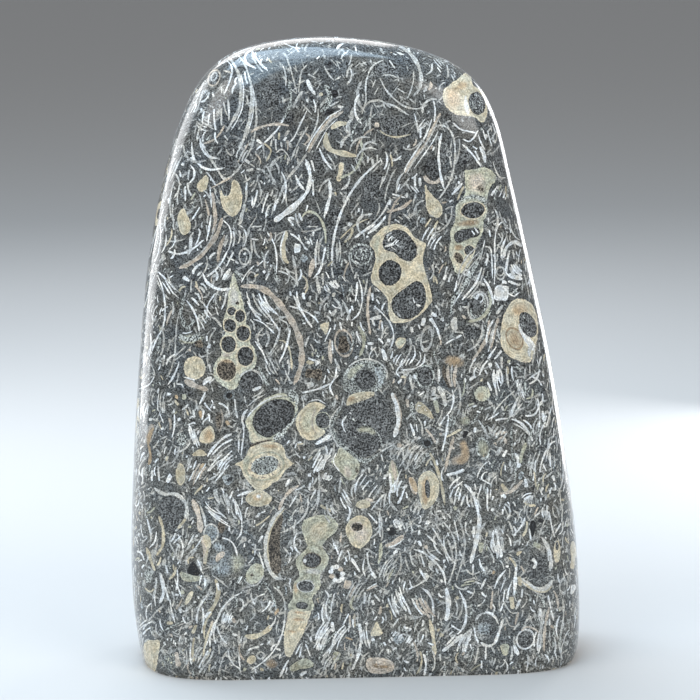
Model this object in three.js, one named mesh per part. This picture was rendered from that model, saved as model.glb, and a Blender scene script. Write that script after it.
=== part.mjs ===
// Turritella agate freeform: one block of fossil shell limestone, sawn flat underneath so that it
// stands, and ground and polished everywhere else into a rounded slab that narrows upwards.
// Millimetres, +Z up, front face towards -Y, origin in the middle of the sawn base.
import * as THREE from "three";
import { mergeVertices } from "three/addons/utils/BufferGeometryUtils.js";

const HEIGHT = 153;
const WIDTH = 111;
const BASE_THICKNESS = 47;
const TOP_THICKNESS = 29;

// The slab's outline seen from the front, x and z, from the lower left over the top to the lower
// right. The first and last points carry the sides on below the saw cut.
const OUTLINE = [
  [-47, -40],
  [-53.4, 0],
  [-55.5, 20],
  [-54.9, 46],
  [-52.9, 75.5],
  [-50.6, 98],
  [-46.8, 118.5],
  [-42.2, 133.5],
  [-36.4, 144],
  [-27.2, 150.3],
  [-11, HEIGHT],
  [6, 151.9],
  [19.6, 148.4],
  [28.7, 142.6],
  [33.9, 133.5],
  [37.8, 118.5],
  [42.8, 97],
  [47.9, 73.5],
  [52.4, 46],
  [55, 24],
  [55.2, 0],
  [49, -40],
];
const OUTLINE_STEPS = 24; // samples between two outline points

// The faces are flat and the rim is rolled: a high power across the outline keeps the middle flat
// and a low one through the thickness rounds the edge.
const FACE_FLATNESS = 9;
const RIM_ROUNDNESS = 2.3;
const SHOULDER = 90; // above this height the surface closes over the top
const FOOT = 4; // height of the slightly eased foot
const FOOT_EASE = 0.9; // how far the foot's edge is drawn in
const BACK_DOME = 0.1; // how much thinner the back gets towards its sides
const GRIND_WAVE = 0.5; // depth of the soft waves left by hand grinding on the back
const WAVE_ACROSS = 17; // mm of width, and of height, in which such a wave turns by one radian
const WAVE_UP = 23;
const WAVE_SWELL = 19; // mm of height in which the waves grow and fade by one radian
const WAVE_START = 0.6; // radians by which that growth lags at the base

// The grid that is laid over the slab.
const CELLS_ACROSS = 26;
const CELLS_THROUGH = 12;
const CELLS_UP = 38;
const SEARCH_SPAN = 2; // the skin is never further out than this many times the grid's box
const SEARCH_STEPS = 40; // halvings of that span
const BASE_CENTRE = 1e-6; // share of the way out that still counts as the middle of the base
const WELD = 1e-3; // grid points closer than this become one

// The outline as a smooth curve, and its reach from the middle of the shoulder as a function of
// the direction in the plane of the slab.
function outlineReach() {
  const points = OUTLINE.map(([x, z]) => new THREE.Vector2(x, z - SHOULDER));
  const curve = new THREE.SplineCurve(points);
  const samples = curve
    .getPoints((OUTLINE.length - 1) * OUTLINE_STEPS)
    .map((p) => ({ turn: turnOf(p.x, p.y), reach: p.length() }));
  return (x, z) => {
    const turn = turnOf(x, z);
    let i = 1;
    while (i < samples.length - 1 && samples[i].turn < turn) i += 1;
    const [a, b] = [samples[i - 1], samples[i]];
    const share = (turn - a.turn) / (b.turn - a.turn);
    return THREE.MathUtils.lerp(a.reach, b.reach, THREE.MathUtils.clamp(share, 0, 1));
  };
}

// Angle from straight down, growing clockwise as the front is seen: left is a quarter turn.
function turnOf(x, z) {
  const turn = Math.atan2(-x, -z);
  return turn < 0 ? turn + 2 * Math.PI : turn;
}

const reachOf = outlineReach();

// Half the thickness on one side of the slab's middle plane.
function halfThickness(x, y, z) {
  const up = THREE.MathUtils.clamp(z / HEIGHT, 0, 1);
  const half = THREE.MathUtils.lerp(BASE_THICKNESS, TOP_THICKNESS, up) / 2;
  if (y <= 0) return half;
  const sideways = x / (WIDTH / 2);
  const wave = Math.sin(x / WAVE_ACROSS + z / WAVE_UP) * Math.cos(z / WAVE_SWELL - WAVE_START);
  return half * (1 - BACK_DOME * sideways * sideways) + GRIND_WAVE * wave;
}

// Below 1 inside the slab, 1 on its polished skin and above 1 outside.
function skin(x, y, z) {
  const rise = z - SHOULDER;
  const span = Math.hypot(x, rise);
  const inset = z < FOOT ? FOOT_EASE * (1 - z / FOOT) ** 2 : 0;
  const across = span / (reachOf(x, rise) - inset);
  const through = Math.abs(y) / (halfThickness(x, y, z) - inset);
  return across ** FACE_FLATNESS + through ** RIM_ROUNDNESS;
}

// The skin's point straight out from the start along a direction, found by halving.
function outToSkin(start, direction) {
  let near = 0;
  let far = SEARCH_SPAN;
  for (let i = 0; i < SEARCH_STEPS; i += 1) {
    const middle = (near + far) / 2;
    const p = start.clone().addScaledVector(direction, middle);
    if (skin(p.x, p.y, p.z) < 1) near = middle;
    else far = middle;
  }
  return start.clone().addScaledVector(direction, near);
}

// A point of the grid's box goes level out to the skin below the shoulder, and fans out from the
// middle of the shoulder above it. The underside keeps its share of the way to the foot's edge.
function ontoStone(box) {
  const start = new THREE.Vector3(0, 0, Math.min(box.z, SHOULDER));
  const direction = box.clone().sub(start);
  if (box.z > 0) return outToSkin(start, direction);
  const share = Math.max(Math.abs(box.x) / (WIDTH / 2), Math.abs(box.y) / (BASE_THICKNESS / 2));
  if (share < BASE_CENTRE) return start;
  return start.lerp(outToSkin(start, direction.divideScalar(share)), share);
}

function stoneGeometry() {
  const grid = new THREE.BoxGeometry(
    WIDTH,
    BASE_THICKNESS,
    HEIGHT,
    CELLS_ACROSS,
    CELLS_THROUGH,
    CELLS_UP,
  );
  grid.translate(0, 0, HEIGHT / 2);
  const position = grid.getAttribute("position");
  for (let i = 0; i < position.count; i += 1) {
    const p = ontoStone(new THREE.Vector3().fromBufferAttribute(position, i));
    position.setXYZ(i, p.x, p.y, p.z);
  }
  grid.deleteAttribute("normal");
  grid.deleteAttribute("uv");
  const closed = mergeVertices(grid, WELD);
  closed.computeVertexNormals();
  return closed;
}

function stone() {
  const polished = new THREE.MeshStandardMaterial({
    color: 0x66655f,
    roughness: 0.12,
    metalness: 0,
  });
  const mesh = new THREE.Mesh(stoneGeometry(), polished);
  mesh.name = "stone";
  return mesh;
}

const freeform = new THREE.Group();
freeform.add(stone());

export default freeform;
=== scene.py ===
import math

import bpy
import numpy as np
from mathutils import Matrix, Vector, kdtree


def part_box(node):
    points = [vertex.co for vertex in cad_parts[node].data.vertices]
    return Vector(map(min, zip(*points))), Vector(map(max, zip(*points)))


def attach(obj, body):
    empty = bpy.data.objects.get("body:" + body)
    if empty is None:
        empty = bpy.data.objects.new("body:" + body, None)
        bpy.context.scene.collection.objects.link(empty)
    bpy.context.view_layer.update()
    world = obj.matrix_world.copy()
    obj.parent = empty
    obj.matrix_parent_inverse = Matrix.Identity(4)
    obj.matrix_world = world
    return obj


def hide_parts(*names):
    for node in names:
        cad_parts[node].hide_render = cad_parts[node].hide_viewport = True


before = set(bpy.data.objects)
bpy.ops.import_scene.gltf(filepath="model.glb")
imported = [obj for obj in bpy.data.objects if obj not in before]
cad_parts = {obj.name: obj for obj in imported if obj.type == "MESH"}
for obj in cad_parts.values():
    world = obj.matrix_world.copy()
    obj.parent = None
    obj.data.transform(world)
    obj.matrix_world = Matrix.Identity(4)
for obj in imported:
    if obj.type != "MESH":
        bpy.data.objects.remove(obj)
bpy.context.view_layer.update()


# ---- The block of stone ----
# One block of fossil shell limestone, sawn flat underneath so that it stands, then ground and
# polished all over into a rounded slab that narrows upwards. It is worked out here in millimetres,
# as a fine net of square cells drawn out from a box onto the polished skin.
STONE_LOW, STONE_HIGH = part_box("stone")
HEIGHT = 153
WIDTH = 111
BASE_THICKNESS = 47
TOP_THICKNESS = 29
OUTLINE = [
    (-47, -40), (-53.4, 0), (-55.5, 20), (-54.9, 46), (-52.9, 75.5), (-50.6, 98), (-46.8, 118.5),
    (-42.2, 133.5), (-36.4, 144), (-27.2, 150.3), (-11, HEIGHT), (6, 151.9), (19.6, 148.4),
    (28.7, 142.6), (33.9, 133.5), (37.8, 118.5), (42.8, 97), (47.9, 73.5), (52.4, 46), (55, 24),
    (55.2, 0), (49, -40),
]
OUTLINE_STEPS = 24
FACE_FLATNESS = 9
RIM_ROUNDNESS = 2.3
SHOULDER = 90
FOOT = 4
FOOT_EASE = 0.9
BACK_DOME = 0.1
GRIND_WAVE = 0.5
GRIND_WAVE_SIZES = (17, 23, 19)
GRIND_WAVE_SHIFT = 0.6
CELL = 0.8
HALVINGS = 30
FAR_OUTSIDE = 2.0
LEAST_SHARE = 1e-6
SHEET_GAP = 1
SHARP_ANGLE = 40
MM = 0.001


def smooth_line(points, steps):
    """A curve through the points, with so many steps between each two."""
    p = np.array(points, float)
    p = np.vstack([p[:1], p, p[-1:]])
    t = (np.arange(steps) / steps)[:, None]
    parts = []
    for a, b, c, d in zip(p[:-3], p[1:-2], p[2:-1], p[3:]):
        leave = (c - a) / 2
        arrive = (d - b) / 2
        parts.append((2 * b - 2 * c + leave + arrive) * t**3
                     + (3 * c - 3 * b - 2 * leave - arrive) * t**2 + leave * t + b)
    return np.vstack(parts + [p[-1:]])


def turn_of(x, z):
    """Angle from straight down, growing clockwise as the front is seen."""
    return np.arctan2(-x, -z) % (2 * math.pi)


def skin(p):
    """Below 1 inside the slab and above 1 outside it."""
    x, y, z = p.T
    rise = z - SHOULDER
    reach = np.interp(turn_of(x, rise), OUTLINE_TURNS, OUTLINE_REACHES)
    inset = FOOT_EASE * np.clip(1 - z / FOOT, 0, None) ** 2
    up = np.clip(z / HEIGHT, 0, 1)
    half = (BASE_THICKNESS + (TOP_THICKNESS - BASE_THICKNESS) * up) / 2
    first, second, third = GRIND_WAVE_SIZES
    wave = np.sin(x / first + z / second) * np.cos(z / third - GRIND_WAVE_SHIFT)
    domed = half * (1 - BACK_DOME * (x / (WIDTH / 2)) ** 2) + GRIND_WAVE * wave
    half = np.where(y > 0, domed, half)
    across = np.hypot(x, rise) / (reach - inset)
    through = np.abs(y) / (half - inset)
    return across**FACE_FLATNESS + through**RIM_ROUNDNESS


def out_to_skin(start, direction):
    """The skin's points straight out from the starts, found by halving."""
    near = np.zeros(len(start))
    far = np.full(len(start), FAR_OUTSIDE)
    for _ in range(HALVINGS):
        middle = (near + far) / 2
        inside = skin(start + direction * middle[:, None]) < 1
        near = np.where(inside, middle, near)
        far = np.where(inside, far, middle)
    return start + direction * near[:, None]


outline = smooth_line([(x, z - SHOULDER) for x, z in OUTLINE], OUTLINE_STEPS)
OUTLINE_TURNS = turn_of(outline[:, 0], outline[:, 1])
OUTLINE_REACHES = np.hypot(outline[:, 0], outline[:, 1])

cells_across = round(WIDTH / CELL)
cells_through = round(BASE_THICKNESS / CELL)
cells_up = round(HEIGHT / CELL)
lattice = np.full((cells_across + 1, cells_through + 1, cells_up + 1), -1)
i, j, k = np.indices(lattice.shape)
on_box = (i % cells_across == 0) | (j % cells_through == 0) | (k % cells_up == 0)
lattice[on_box] = np.arange(on_box.sum())
box = np.stack([
    (i[on_box] / cells_across - 0.5) * WIDTH,
    (j[on_box] / cells_through - 0.5) * BASE_THICKNESS,
    k[on_box] / cells_up * HEIGHT,
], 1)
start = np.stack([0 * box[:, 0], 0 * box[:, 1], np.minimum(box[:, 2], SHOULDER)], 1)
share = np.maximum(np.abs(box[:, 0]) / (WIDTH / 2), np.abs(box[:, 1]) / (BASE_THICKNESS / 2))
share = np.where(box[:, 2] > 0, 1, np.maximum(share, LEAST_SHARE))
foot = out_to_skin(start, (box - start) / share[:, None])
points = start + (foot - start) * share[:, None]
low = np.array(STONE_LOW) / MM
high = np.array(STONE_HIGH) / MM
points = low + (points - points.min(0)) / np.ptp(points, 0) * (high - low)

# The six sides of the net: whether its cells turn the other way round, and how far right and up it
# lies on the flat sheet that carries the colours.
SHEET = 2 * (WIDTH + BASE_THICKNESS) + 5 * SHEET_GAP
SIDES = (
    (lattice[:, 0, :], False, SHEET_GAP, 0),
    (lattice[:, -1, :], True, WIDTH + 2 * SHEET_GAP, 0),
    (lattice[0, :, :], True, 2 * WIDTH + 3 * SHEET_GAP, 0),
    (lattice[-1, :, :], False, 2 * WIDTH + BASE_THICKNESS + 4 * SHEET_GAP, 0),
    (lattice[:, :, -1], False, SHEET_GAP, HEIGHT + 2 * SHEET_GAP),
    (lattice[:, :, 0], True, WIDTH + 2 * SHEET_GAP, HEIGHT + 2 * SHEET_GAP),
)
quads = []
sheet = []
for numbers, turned, right, up in SIDES:
    a, b = np.indices(numbers.shape)
    order = [(0, 0), (1, 0), (1, 1), (0, 1)]
    if turned:
        order.reverse()
    rows, columns = numbers.shape[0] - 1, numbers.shape[1] - 1
    pick = [(slice(da, da + rows), slice(db, db + columns)) for da, db in order]
    quads.append(np.stack([numbers[s].ravel() for s in pick], 1))
    flat = np.stack([right + a * CELL, up + b * CELL], 2) / SHEET
    sheet.append(np.stack([flat[s].reshape(-1, 2) for s in pick], 1))
quads = np.vstack(quads)
sheet = np.vstack(sheet)

block = bpy.data.meshes.new("polished_stone")
block.from_pydata((points * MM).tolist(), [], quads.tolist())
block.uv_layers.new(name="OFBake").uv.foreach_set("vector", sheet.astype(np.float32).ravel())
block.shade_smooth()
block.set_sharp_from_angle(angle=math.radians(SHARP_ANGLE))
stone = bpy.data.objects.new("polished_stone", block)
bpy.context.scene.collection.objects.link(stone)


# ---- The shells ----
# Tall spired snail shells and broken shell walls, packed in lime mud that has turned to stone. The
# saw and the polish cut them across, so each shows as a flat pale shape, flush with the surface.
LAYERS = 8
TONES = ("white", "pale", "cream", "sand", "rust", "moss", "grey", "infill", "brown", "black", "blue")
SEED = 7
EYE = np.array([-45.6, -632.6, 188.4])
FRONT_AT_TOP = -TOP_THICKNESS / 2
FRONT_AT_FOOT = -BASE_THICKNESS / 2
LINE_STEP = 0.4
RIM_STEPS = 4
RIM_ROOM = 2.5
LEAST_ROOM = 0.4
THICK = 0.95
SHORT = 3
SWELL = 0.22
SWELL_TURN = 1.3
SWELL_SHIFT = 40
FAN_BEND = 0.06
SOFT = 2
SHY_OF_BODIES = 3
TONE_START = 0.26
TONE_SPAN = 0.48
FAR_AWAY = 9.0
FACES_THE_EYE = 0.1
NEARLY_FLAT = 0.3
STEEP = 0.9

# A shape is laid into the net's cells as two smooth distances, across and along, which are 0 in its
# middle and 1 at its edge, and a tone. A cell holds a few layers, and a later one lies on top.
chance = np.random.default_rng(SEED)
corners = points[quads]
middles = corners.mean(1)
facing = np.cross(corners[:, 2] - corners[:, 0], corners[:, 3] - corners[:, 1])
facing /= np.linalg.norm(facing, axis=1)[:, None]
layers = np.full((LAYERS, len(quads), 4, 3), FAR_AWAY, np.float32)
layers[..., 2] = 0
used = np.zeros(len(quads), int)
in_body = np.zeros(len(quads), bool)
in_line = np.zeros(len(quads), bool)


def seen_on_front(p):
    """Where points of the skin are seen on the flat of the front face from the eye."""
    front = FRONT_AT_FOOT + (FRONT_AT_TOP - FRONT_AT_FOOT) * p[..., 2] / HEIGHT
    near = (front - p[..., 1]) / (EYE[1] - p[..., 1])
    return np.stack([
        p[..., 0] + near * (EYE[0] - p[..., 0]),
        p[..., 2] + near * (EYE[2] - p[..., 2]),
    ], -1)


to_eye = EYE - middles
to_eye /= np.linalg.norm(to_eye, axis=1)[:, None]
in_front = np.nonzero((facing * to_eye).sum(1) > FACES_THE_EYE)[0]
FRONT = (in_front, seen_on_front(corners[in_front]))

places = kdtree.KDTree(len(middles))
for cell, middle in enumerate(middles):
    places.insert(middle, cell)
places.balance()


def flat_at(point, normal, reach):
    """The cells round a point of the skin, with their places on the flat sheet that touches it."""
    up = np.array([0, 0, 1.0]) if abs(normal[2]) < STEEP else np.array([0, 1.0, 0])
    right = np.cross(up, normal)
    right /= np.linalg.norm(right)
    up = np.cross(normal, right)
    cells = np.array([cell for _, cell, _ in places.find_range(point, reach)])
    cells = cells[facing[cells] @ normal > NEARLY_FLAT]
    away = corners[cells] - point
    return cells, np.stack([away @ right, away @ up], -1)


def near_part(ground, low, high):
    """The cells of a ground between two corners, a cell's width more each way."""
    cells, place = ground
    centre = place.mean(1)
    keep = ((centre > np.array(low) - CELL) & (centre < np.array(high) + CELL)).all(1)
    return cells[keep], place[keep]


def lay(cells, across, along, kind, depth, body=False, shy=None):
    """Lays one shape into the next free layer of every cell that it crosses.

    A shy shape isn't laid where that share of its cells holds another wall already, nor where a
    third of that share holds a body. A soft body fades out towards its edge.
    """
    hit = np.ones(len(cells), bool)
    for value in (across, along):
        hit &= (np.abs(value).min(1) < 1) | ((value.min(1) < 0) & (value.max(1) > 0))
    cells = cells[hit]
    if not len(cells):
        return
    if shy is not None and in_body[cells].mean() > shy / SHY_OF_BODIES:
        return
    if shy is not None and in_line[cells].mean() > shy:
        return
    free = used[cells] < LAYERS
    tone = (TONES.index(kind) + TONE_START + TONE_SPAN * depth) / len(TONES) + int(body)
    stack = np.stack([across[hit], along[hit], np.full(across[hit].shape, tone)], -1)
    layers[used[cells[free]], cells[free]] = stack[free]
    used[cells[free]] += 1
    if body:
        in_body[cells] = True
    else:
        in_line[cells] = True


def toward(degrees):
    """The direction so many degrees up from level."""
    return np.array([math.cos(math.radians(degrees)), math.sin(math.radians(degrees))])


def oval(ground, x, z, wide, high, lean, room):
    """The cells near an oval, with how far across and along it they lie, which is 1 at its edge."""
    reach = max(wide, high) + room
    cells, place = near_part(ground, (x - reach, z - reach), (x + reach, z + reach))
    c, s = toward(lean)
    away = place - np.array([x, z])
    across = (away[..., 0] * c + away[..., 1] * s) / wide
    along = (away[..., 1] * c - away[..., 0] * s) / high
    return cells, across, along


def disc(kind, x, z, wide, high, depth=0.5, lean=0, body=True, ground=FRONT):
    """An oval of that half width and half height, leaning so many degrees to the left.

    The depth of every shape is where in its tone's range of shades it lies, from 0 to 1.
    """
    cells, across, along = oval(ground, x, z, wide, high, lean, 0)
    lay(cells, across, along, kind, depth, body)


def ring(kind, x, z, wide, high, thick, depth=0.5, lean=0):
    """A closed shell wall of that half width and half height, on the front."""
    cells, across, along = oval(FRONT, x, z, wide, high, lean, thick)
    out = (np.hypot(across, along) - 1) * min(wide, high) * 2 / thick
    lay(cells, out, 0 * out, kind, depth, thick > THICK)


def blob(kind, depth, *rim, body=True, ground=FRONT):
    """A rounded shape whose rim runs through points, given as x and z in turn."""
    rim = np.reshape(rim, (-1, 2)).astype(float)
    cells, place = near_part(ground, rim.min(0), rim.max(0))
    curve = smooth_line(np.vstack([rim[-1:], rim, rim[:2]]), RIM_STEPS)[RIM_STEPS:-RIM_STEPS - 1]
    ahead = np.roll(curve, -1, 0)
    step = ahead - curve
    spot = place.reshape(-1, 1, 2)
    share = np.clip(((spot - curve) * step).sum(2) / (step**2).sum(1), 0, 1)[..., None]
    gap = np.hypot(*(spot - curve - share * step).transpose(2, 0, 1)).min(1)
    crossed = (curve[:, 1] > spot[..., 1]) != (ahead[:, 1] > spot[..., 1])
    slope = step[:, 0] / np.where(step[:, 1] == 0, 1, step[:, 1])
    left = spot[..., 0] < curve[:, 0] + (spot[..., 1] - curve[:, 1]) * slope
    inside = (crossed & left).sum(1) % 2 == 1
    room = max(gap[inside].max(initial=0), LEAST_ROOM)
    if body != SOFT:
        room = min(room, RIM_ROOM)
    out = np.maximum(1 + np.where(inside, -gap, gap) / room, 0).reshape(place.shape[:2])
    lay(cells, out, 0 * out, kind, depth, body)


def wall(kind, thick, *line, depth=0.5, body=False, shy=None, ground=FRONT):
    """A broken shell wall that thins to its ends, along a line of points, given as x and z in turn."""
    line = np.reshape(line, (-1, 2)).astype(float)
    curve = smooth_line(line, max(2, int(np.linalg.norm(np.ptp(line, 0)) / LINE_STEP / len(line)) + 1))
    room = thick / 2
    cells, place = near_part(ground, curve.min(0) - room, curve.max(0) + room)
    if not len(cells):
        return
    centre = place.mean(1)
    gap = np.hypot(*(centre[:, None] - curve[None]).transpose(2, 0, 1)).min(1)
    cells, place = cells[gap < room + 1.5 * CELL], place[gap < room + 1.5 * CELL]
    if not len(cells):
        return
    heading = np.gradient(curve, axis=0)
    heading /= np.linalg.norm(heading, axis=1)[:, None]
    run = np.concatenate([[0], np.cumsum(np.hypot(*np.diff(curve, axis=0).T))])
    away = place[:, :, None] - curve[None, None]
    nearest = (away**2).sum(3).argmin(2)
    away = np.take_along_axis(away, nearest[..., None, None], 2)[:, :, 0]
    ahead = heading[nearest]
    across = (away[..., 0] * ahead[..., 1] - away[..., 1] * ahead[..., 0]) / room
    along = (run[nearest] + (away * ahead).sum(2)) / run[-1] * 2 - 1
    blunt = 4 if run[-1] < SHORT else 3
    along = np.sign(along) * np.abs(along)**blunt
    swell = 1 + SWELL * np.sin(run[nearest] * SWELL_TURN + SWELL_SHIFT * thick + line[0, 0])
    lay(cells, across / swell, along, kind, depth, body or thick > THICK, shy)


def hollow(x, z, wide, high, depth=0.5, lean=0, kind="infill", rim="cream", lip=0.26, ground=FRONT):
    """A whorl's hollow, filled with dark mud, with a thin pale lip all round it."""
    disc(rim, x, z, wide + lip, high + lip, 0.7, lean, ground=ground)
    disc(kind, x, z, wide, high, depth, lean, ground=ground)


def fan(kind, x, z, heading, long, gap, count, thick, ground=FRONT):
    """Broken walls side by side round a place, headed so many degrees up from level."""
    ahead = toward(heading)
    aside = np.array([-ahead[1], ahead[0]])
    for n in range(count):
        middle = np.array([x, z]) + ((n - (count - 1) / 2) * gap + chance.normal(0, 0.1)) * aside
        middle = middle + chance.normal(0, 0.12 * long) * ahead
        half = ahead * long * chance.uniform(0.3, 0.5)
        bow = aside * (FAN_BEND + chance.normal(0, 0.03)) * long
        tone = kind if chance.random() < 0.7 else chance.choice(("white", "pale", "grey"))
        wall(str(tone), thick * chance.uniform(0.7, 1.2), middle - half, middle - half * 0.35 + bow,
             middle + half * 0.35 + bow, middle + half, depth=chance.uniform(0.3, 1), ground=ground)


# Pockets of plain mud, where no litter was washed in.
for x, z, wide, high, lean in (
    (7.5, 132.6, 3.8, 4, 0), (6, 146, 4.4, 2, 10), (2.6, 118.6, 4, 4.6, -30), (-9.6, 125, 2.4, 3.4, -30),
    (-30.6, 126.6, 2.8, 4, -20), (-21, 140, 2.8, 4.6, 10), (32.6, 123.4, 1.8, 4.2, 12),
    (25.2, 126, 2, 3, 0), (19.6, 126.4, 1.6, 4, -8), (-6, 110.6, 2.2, 4.4, -10), (-41, 133.4, 1.6, 3, -30),
):
    disc("infill", x, z, wide, high, 0.3, lean, SOFT)

# The tall snail at the left, cut along its length: a pale body with two rows of whorls, each
# whorl's hollow filled with dark mud.
blob("moss", 0.75, -30.2, 98.6, -29.3, 95.5, -28.2, 92.6, -27.8, 90.1, -27.1, 88.3, -27.5, 86.8,
     -26.4, 85.7, -26.1, 83.5, -26.6, 82.2, -25.3, 80.4, -24.9, 78.2, -25.5, 76, -27.7, 74.7, -29, 72.9,
     -29.4, 71.2, -31.2, 70.8, -32.9, 71.6, -34.9, 73.4, -35.3, 75.6, -34.4, 78, -33.2, 79.5, -33.8, 81.7,
     -33.1, 83.3, -32.3, 84.6, -33, 86.1, -32.7, 87.9, -31.8, 90.8, -31.6, 93.2, -31, 96.2)
blob("pale", 0.95, -31.5, 91.3, -29.6, 90.9, -28.6, 92.2, -29.7, 95.4, -30.2, 97.6, -31, 95, body=SOFT)
blob("cream", 0.6, -29.9, 82, -30.2, 79.4, -30, 76, -29.2, 74, -28.4, 75.6, -29.2, 79.4, body=SOFT)
disc("sand", -32, 79.2, 1.5, 0.8, 0.6, 10, SOFT)
disc("brown", -29.4, 91.4, 0.42, 0.4, 0.1)
for x, z, wide, high, depth, lip in (
    (-30.8, 89.5, 1.05, 1, 0.8, 0.2), (-28.8, 88.3, 1.2, 1.45, 0.9, 0.25),
    (-31.2, 86.1, 1.45, 1.55, 0.7, 0.3), (-28.1, 84.2, 1.6, 1.8, 0.6, 0.3),
    (-31.6, 81.6, 1.72, 2.02, 0.8, 0.35), (-27.6, 78.7, 1.92, 2.3, 0.6, 0.35),
):
    hollow(x, z, wide, high, depth, lip=lip)
hollow(-32.1, 75.5, 2.3, 2.55, 0.45, kind="brown")
disc("rust", -31.9, 77.6, 1.4, 0.5, 0.2, -6, SOFT)
disc("infill", -26.3, 72.5, 2.65, 2.55, 0.45)
wall("pale", 0.45, -29.1, 73.6, -27.9, 74.9, -26, 75.4, -24.4, 74.5, -23.4, 72.6, depth=0.8)
wall("grey", 0.8, -24.6, 76.6, -23.2, 73.6, -22.2, 71.4, depth=0.8)
wall("white", 0.85, -26, 70.5, -23.8, 71.5)

# Whole sections of fat whorls in the upper half.
disc("cream", -39.7, 76.1, 2.6, 2.8, 0.55)
blob("cream", 0.5, -33.2, 118.6, -32.2, 116.7, -31, 117.3, -30.5, 119.8, -30, 120.7, -28.8, 119.7, -28, 117,
     -28.3, 114.2, -29.2, 112.4, -30.6, 111.9, -32, 113, -33.1, 115.2)
disc("infill", -31.6, 118.6, 0.9, 1.5, 0.8)
blob("cream", 0.5, -42, 114.1, -41, 112.3, -40.2, 110, -40.6, 108.4, -42.1, 107.6, -43.1, 109.5,
     -43.3, 112.3)
blob("cream", 0.6, -36.1, 121.9, -36, 120, -36.6, 118.3, -37.6, 117.7, -38.6, 118.4, -38.6, 119.6,
     -37.4, 121)
disc("infill", -34.4, 144.4, 1.5, 2, 0.2, -25, SOFT)
ring("sand", -34.4, 144.4, 1.3, 1.9, 0.3, 0.4, -25)
ring("pale", -34.4, 144.7, 0.6, 1, 0.25, 0.3, -25)
disc("black", -6.2, 140.6, 1, 1.05, 0.9)
disc("black", -7.2, 136.2, 1.3, 0.8, 0.8, 20)
disc("black", -7.6, 147.6, 1.1, 0.9, 1)
disc("infill", -16.9, 134.6, 1.2, 1.5, 0.9)
wall("cream", 1.25, -8.1, 131.6, -8.1, 129, -7, 127.4, -4.8, 126.7, -2.4, 126.2, -0.9, 125.9, depth=0.45,
     body=True)
wall("cream", 1.1, -7, 132.3, -5.2, 133.5, -3, 133.5, depth=0.8, body=True)
disc("infill", 17.1, 122.9, 2, 2.7, 0.9)
wall("sand", 0.9, 14.9, 121.2, 16.3, 119.7, 18.2, 119.7, 19.3, 121, depth=0.8)
blob("cream", 0.55, 15.2, 119.2, 16.6, 117, 18.6, 115, 19.5, 113, 18.6, 111.2, 16.6, 111.9, 15.6, 113.4,
     15.4, 116)
blob("cream", 0.55, 25.6, 145.8, 22.8, 143.8, 19.9, 141.6, 19.4, 139.4, 20.4, 137.2, 22.4, 135.6,
     24.6, 135.2, 26.8, 134.9, 29, 133.6, 30, 135.4, 30, 138, 29.5, 140.4, 28.2, 141.6, 26.8, 142.3,
     26.2, 144.2)
disc("rust", 21.8, 139.4, 2.1, 3.1, 0.95, body=SOFT)
disc("rust", 24, 142.2, 1.6, 1.2, 0.9, 30, SOFT)
disc("infill", 27.6, 138.1, 2, 2.8, 0, 14)
blob("white", 0.5, 24.8, 140.6, 25.6, 138.4, 26, 135.8, 25.2, 135.4, 24.4, 137.6, body=SOFT)

# The snail at the upper right, cut off its middle.
blob("moss", 0.7, 24.6, 122.5, 27.1, 122.6, 29, 123.1, 30.9, 122.5, 32.2, 121.2, 31.9, 119.6, 30.9, 118.3,
     30.3, 116.1, 29.8, 114.8, 30.1, 112.6, 29.3, 110.3, 29.2, 108.4, 28.8, 106.8, 27.6, 104.8, 27.2, 102.8,
     26.4, 100.7, 25.4, 99.1, 23.8, 97.8, 22.5, 98.2, 21.7, 100.4, 20.9, 103, 21.4, 105.5, 21.2, 107.8,
     22, 109.4, 22.5, 111.3, 22.5, 113.5, 23.3, 115, 24.6, 116.4, 24.8, 119, 24.6, 120.9)
blob("cream", 0.75, 21.6, 105, 22.6, 103, 24.2, 101.6, 27, 102, 26.4, 100, 23.8, 98.2, 22.2, 99, 21.4, 102,
     body=SOFT)
blob("grey", 0.95, 23.2, 114.4, 24, 116, 27, 116.8, 30, 115.6, 29.6, 111, 29, 114.4, 26, 115.6, body=SOFT)
blob("sand", 0.8, 25.6, 121.4, 28.6, 122, 30, 119.6, 29, 117, 25.8, 117.4, body=SOFT)
disc("brown", 28.6, 118, 1.3, 0.9, 0.9, -20, SOFT)
disc("rust", 25.6, 109.9, 3.2, 0.9, 0.15, 6, SOFT)
disc("rust", 23.3, 104.1, 1.2, 1, 0.45, body=SOFT)
hollow(26.7, 112.9, 2.85, 1.95, 0.35, 4)
blob("moss", 0.3, 21.8, 106.8, 22.7, 108.3, 24.8, 108.9, 26.7, 109.2, 28.2, 108.9, 28.8, 107.4, 27.8, 106.2,
     26, 105.9, 24.5, 105.2, 23.4, 104.7, 22.2, 105.2)
blob("infill", 0.95, 22.1, 106.8, 22.9, 108, 24.8, 108.5, 26.7, 108.8, 28, 108.6, 28.4, 107.4, 27.7, 106.6,
     26.1, 106.3, 24.5, 105.6, 23.5, 105.1, 22.5, 105.5)
hollow(25.8, 103.4, 1.2, 1.2, 0.7, lip=0.25)
hollow(23.3, 101.6, 0.9, 1.5, 0.5, 30, kind="brown", lip=0.25)
ring("white", 25.1, 98.1, 0.7, 0.6, 0.45)
wall("white", 0.4, 26.3, 108.2, 27.2, 107)
wall("white", 0.4, 27, 108.9, 28, 107.4)

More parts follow.
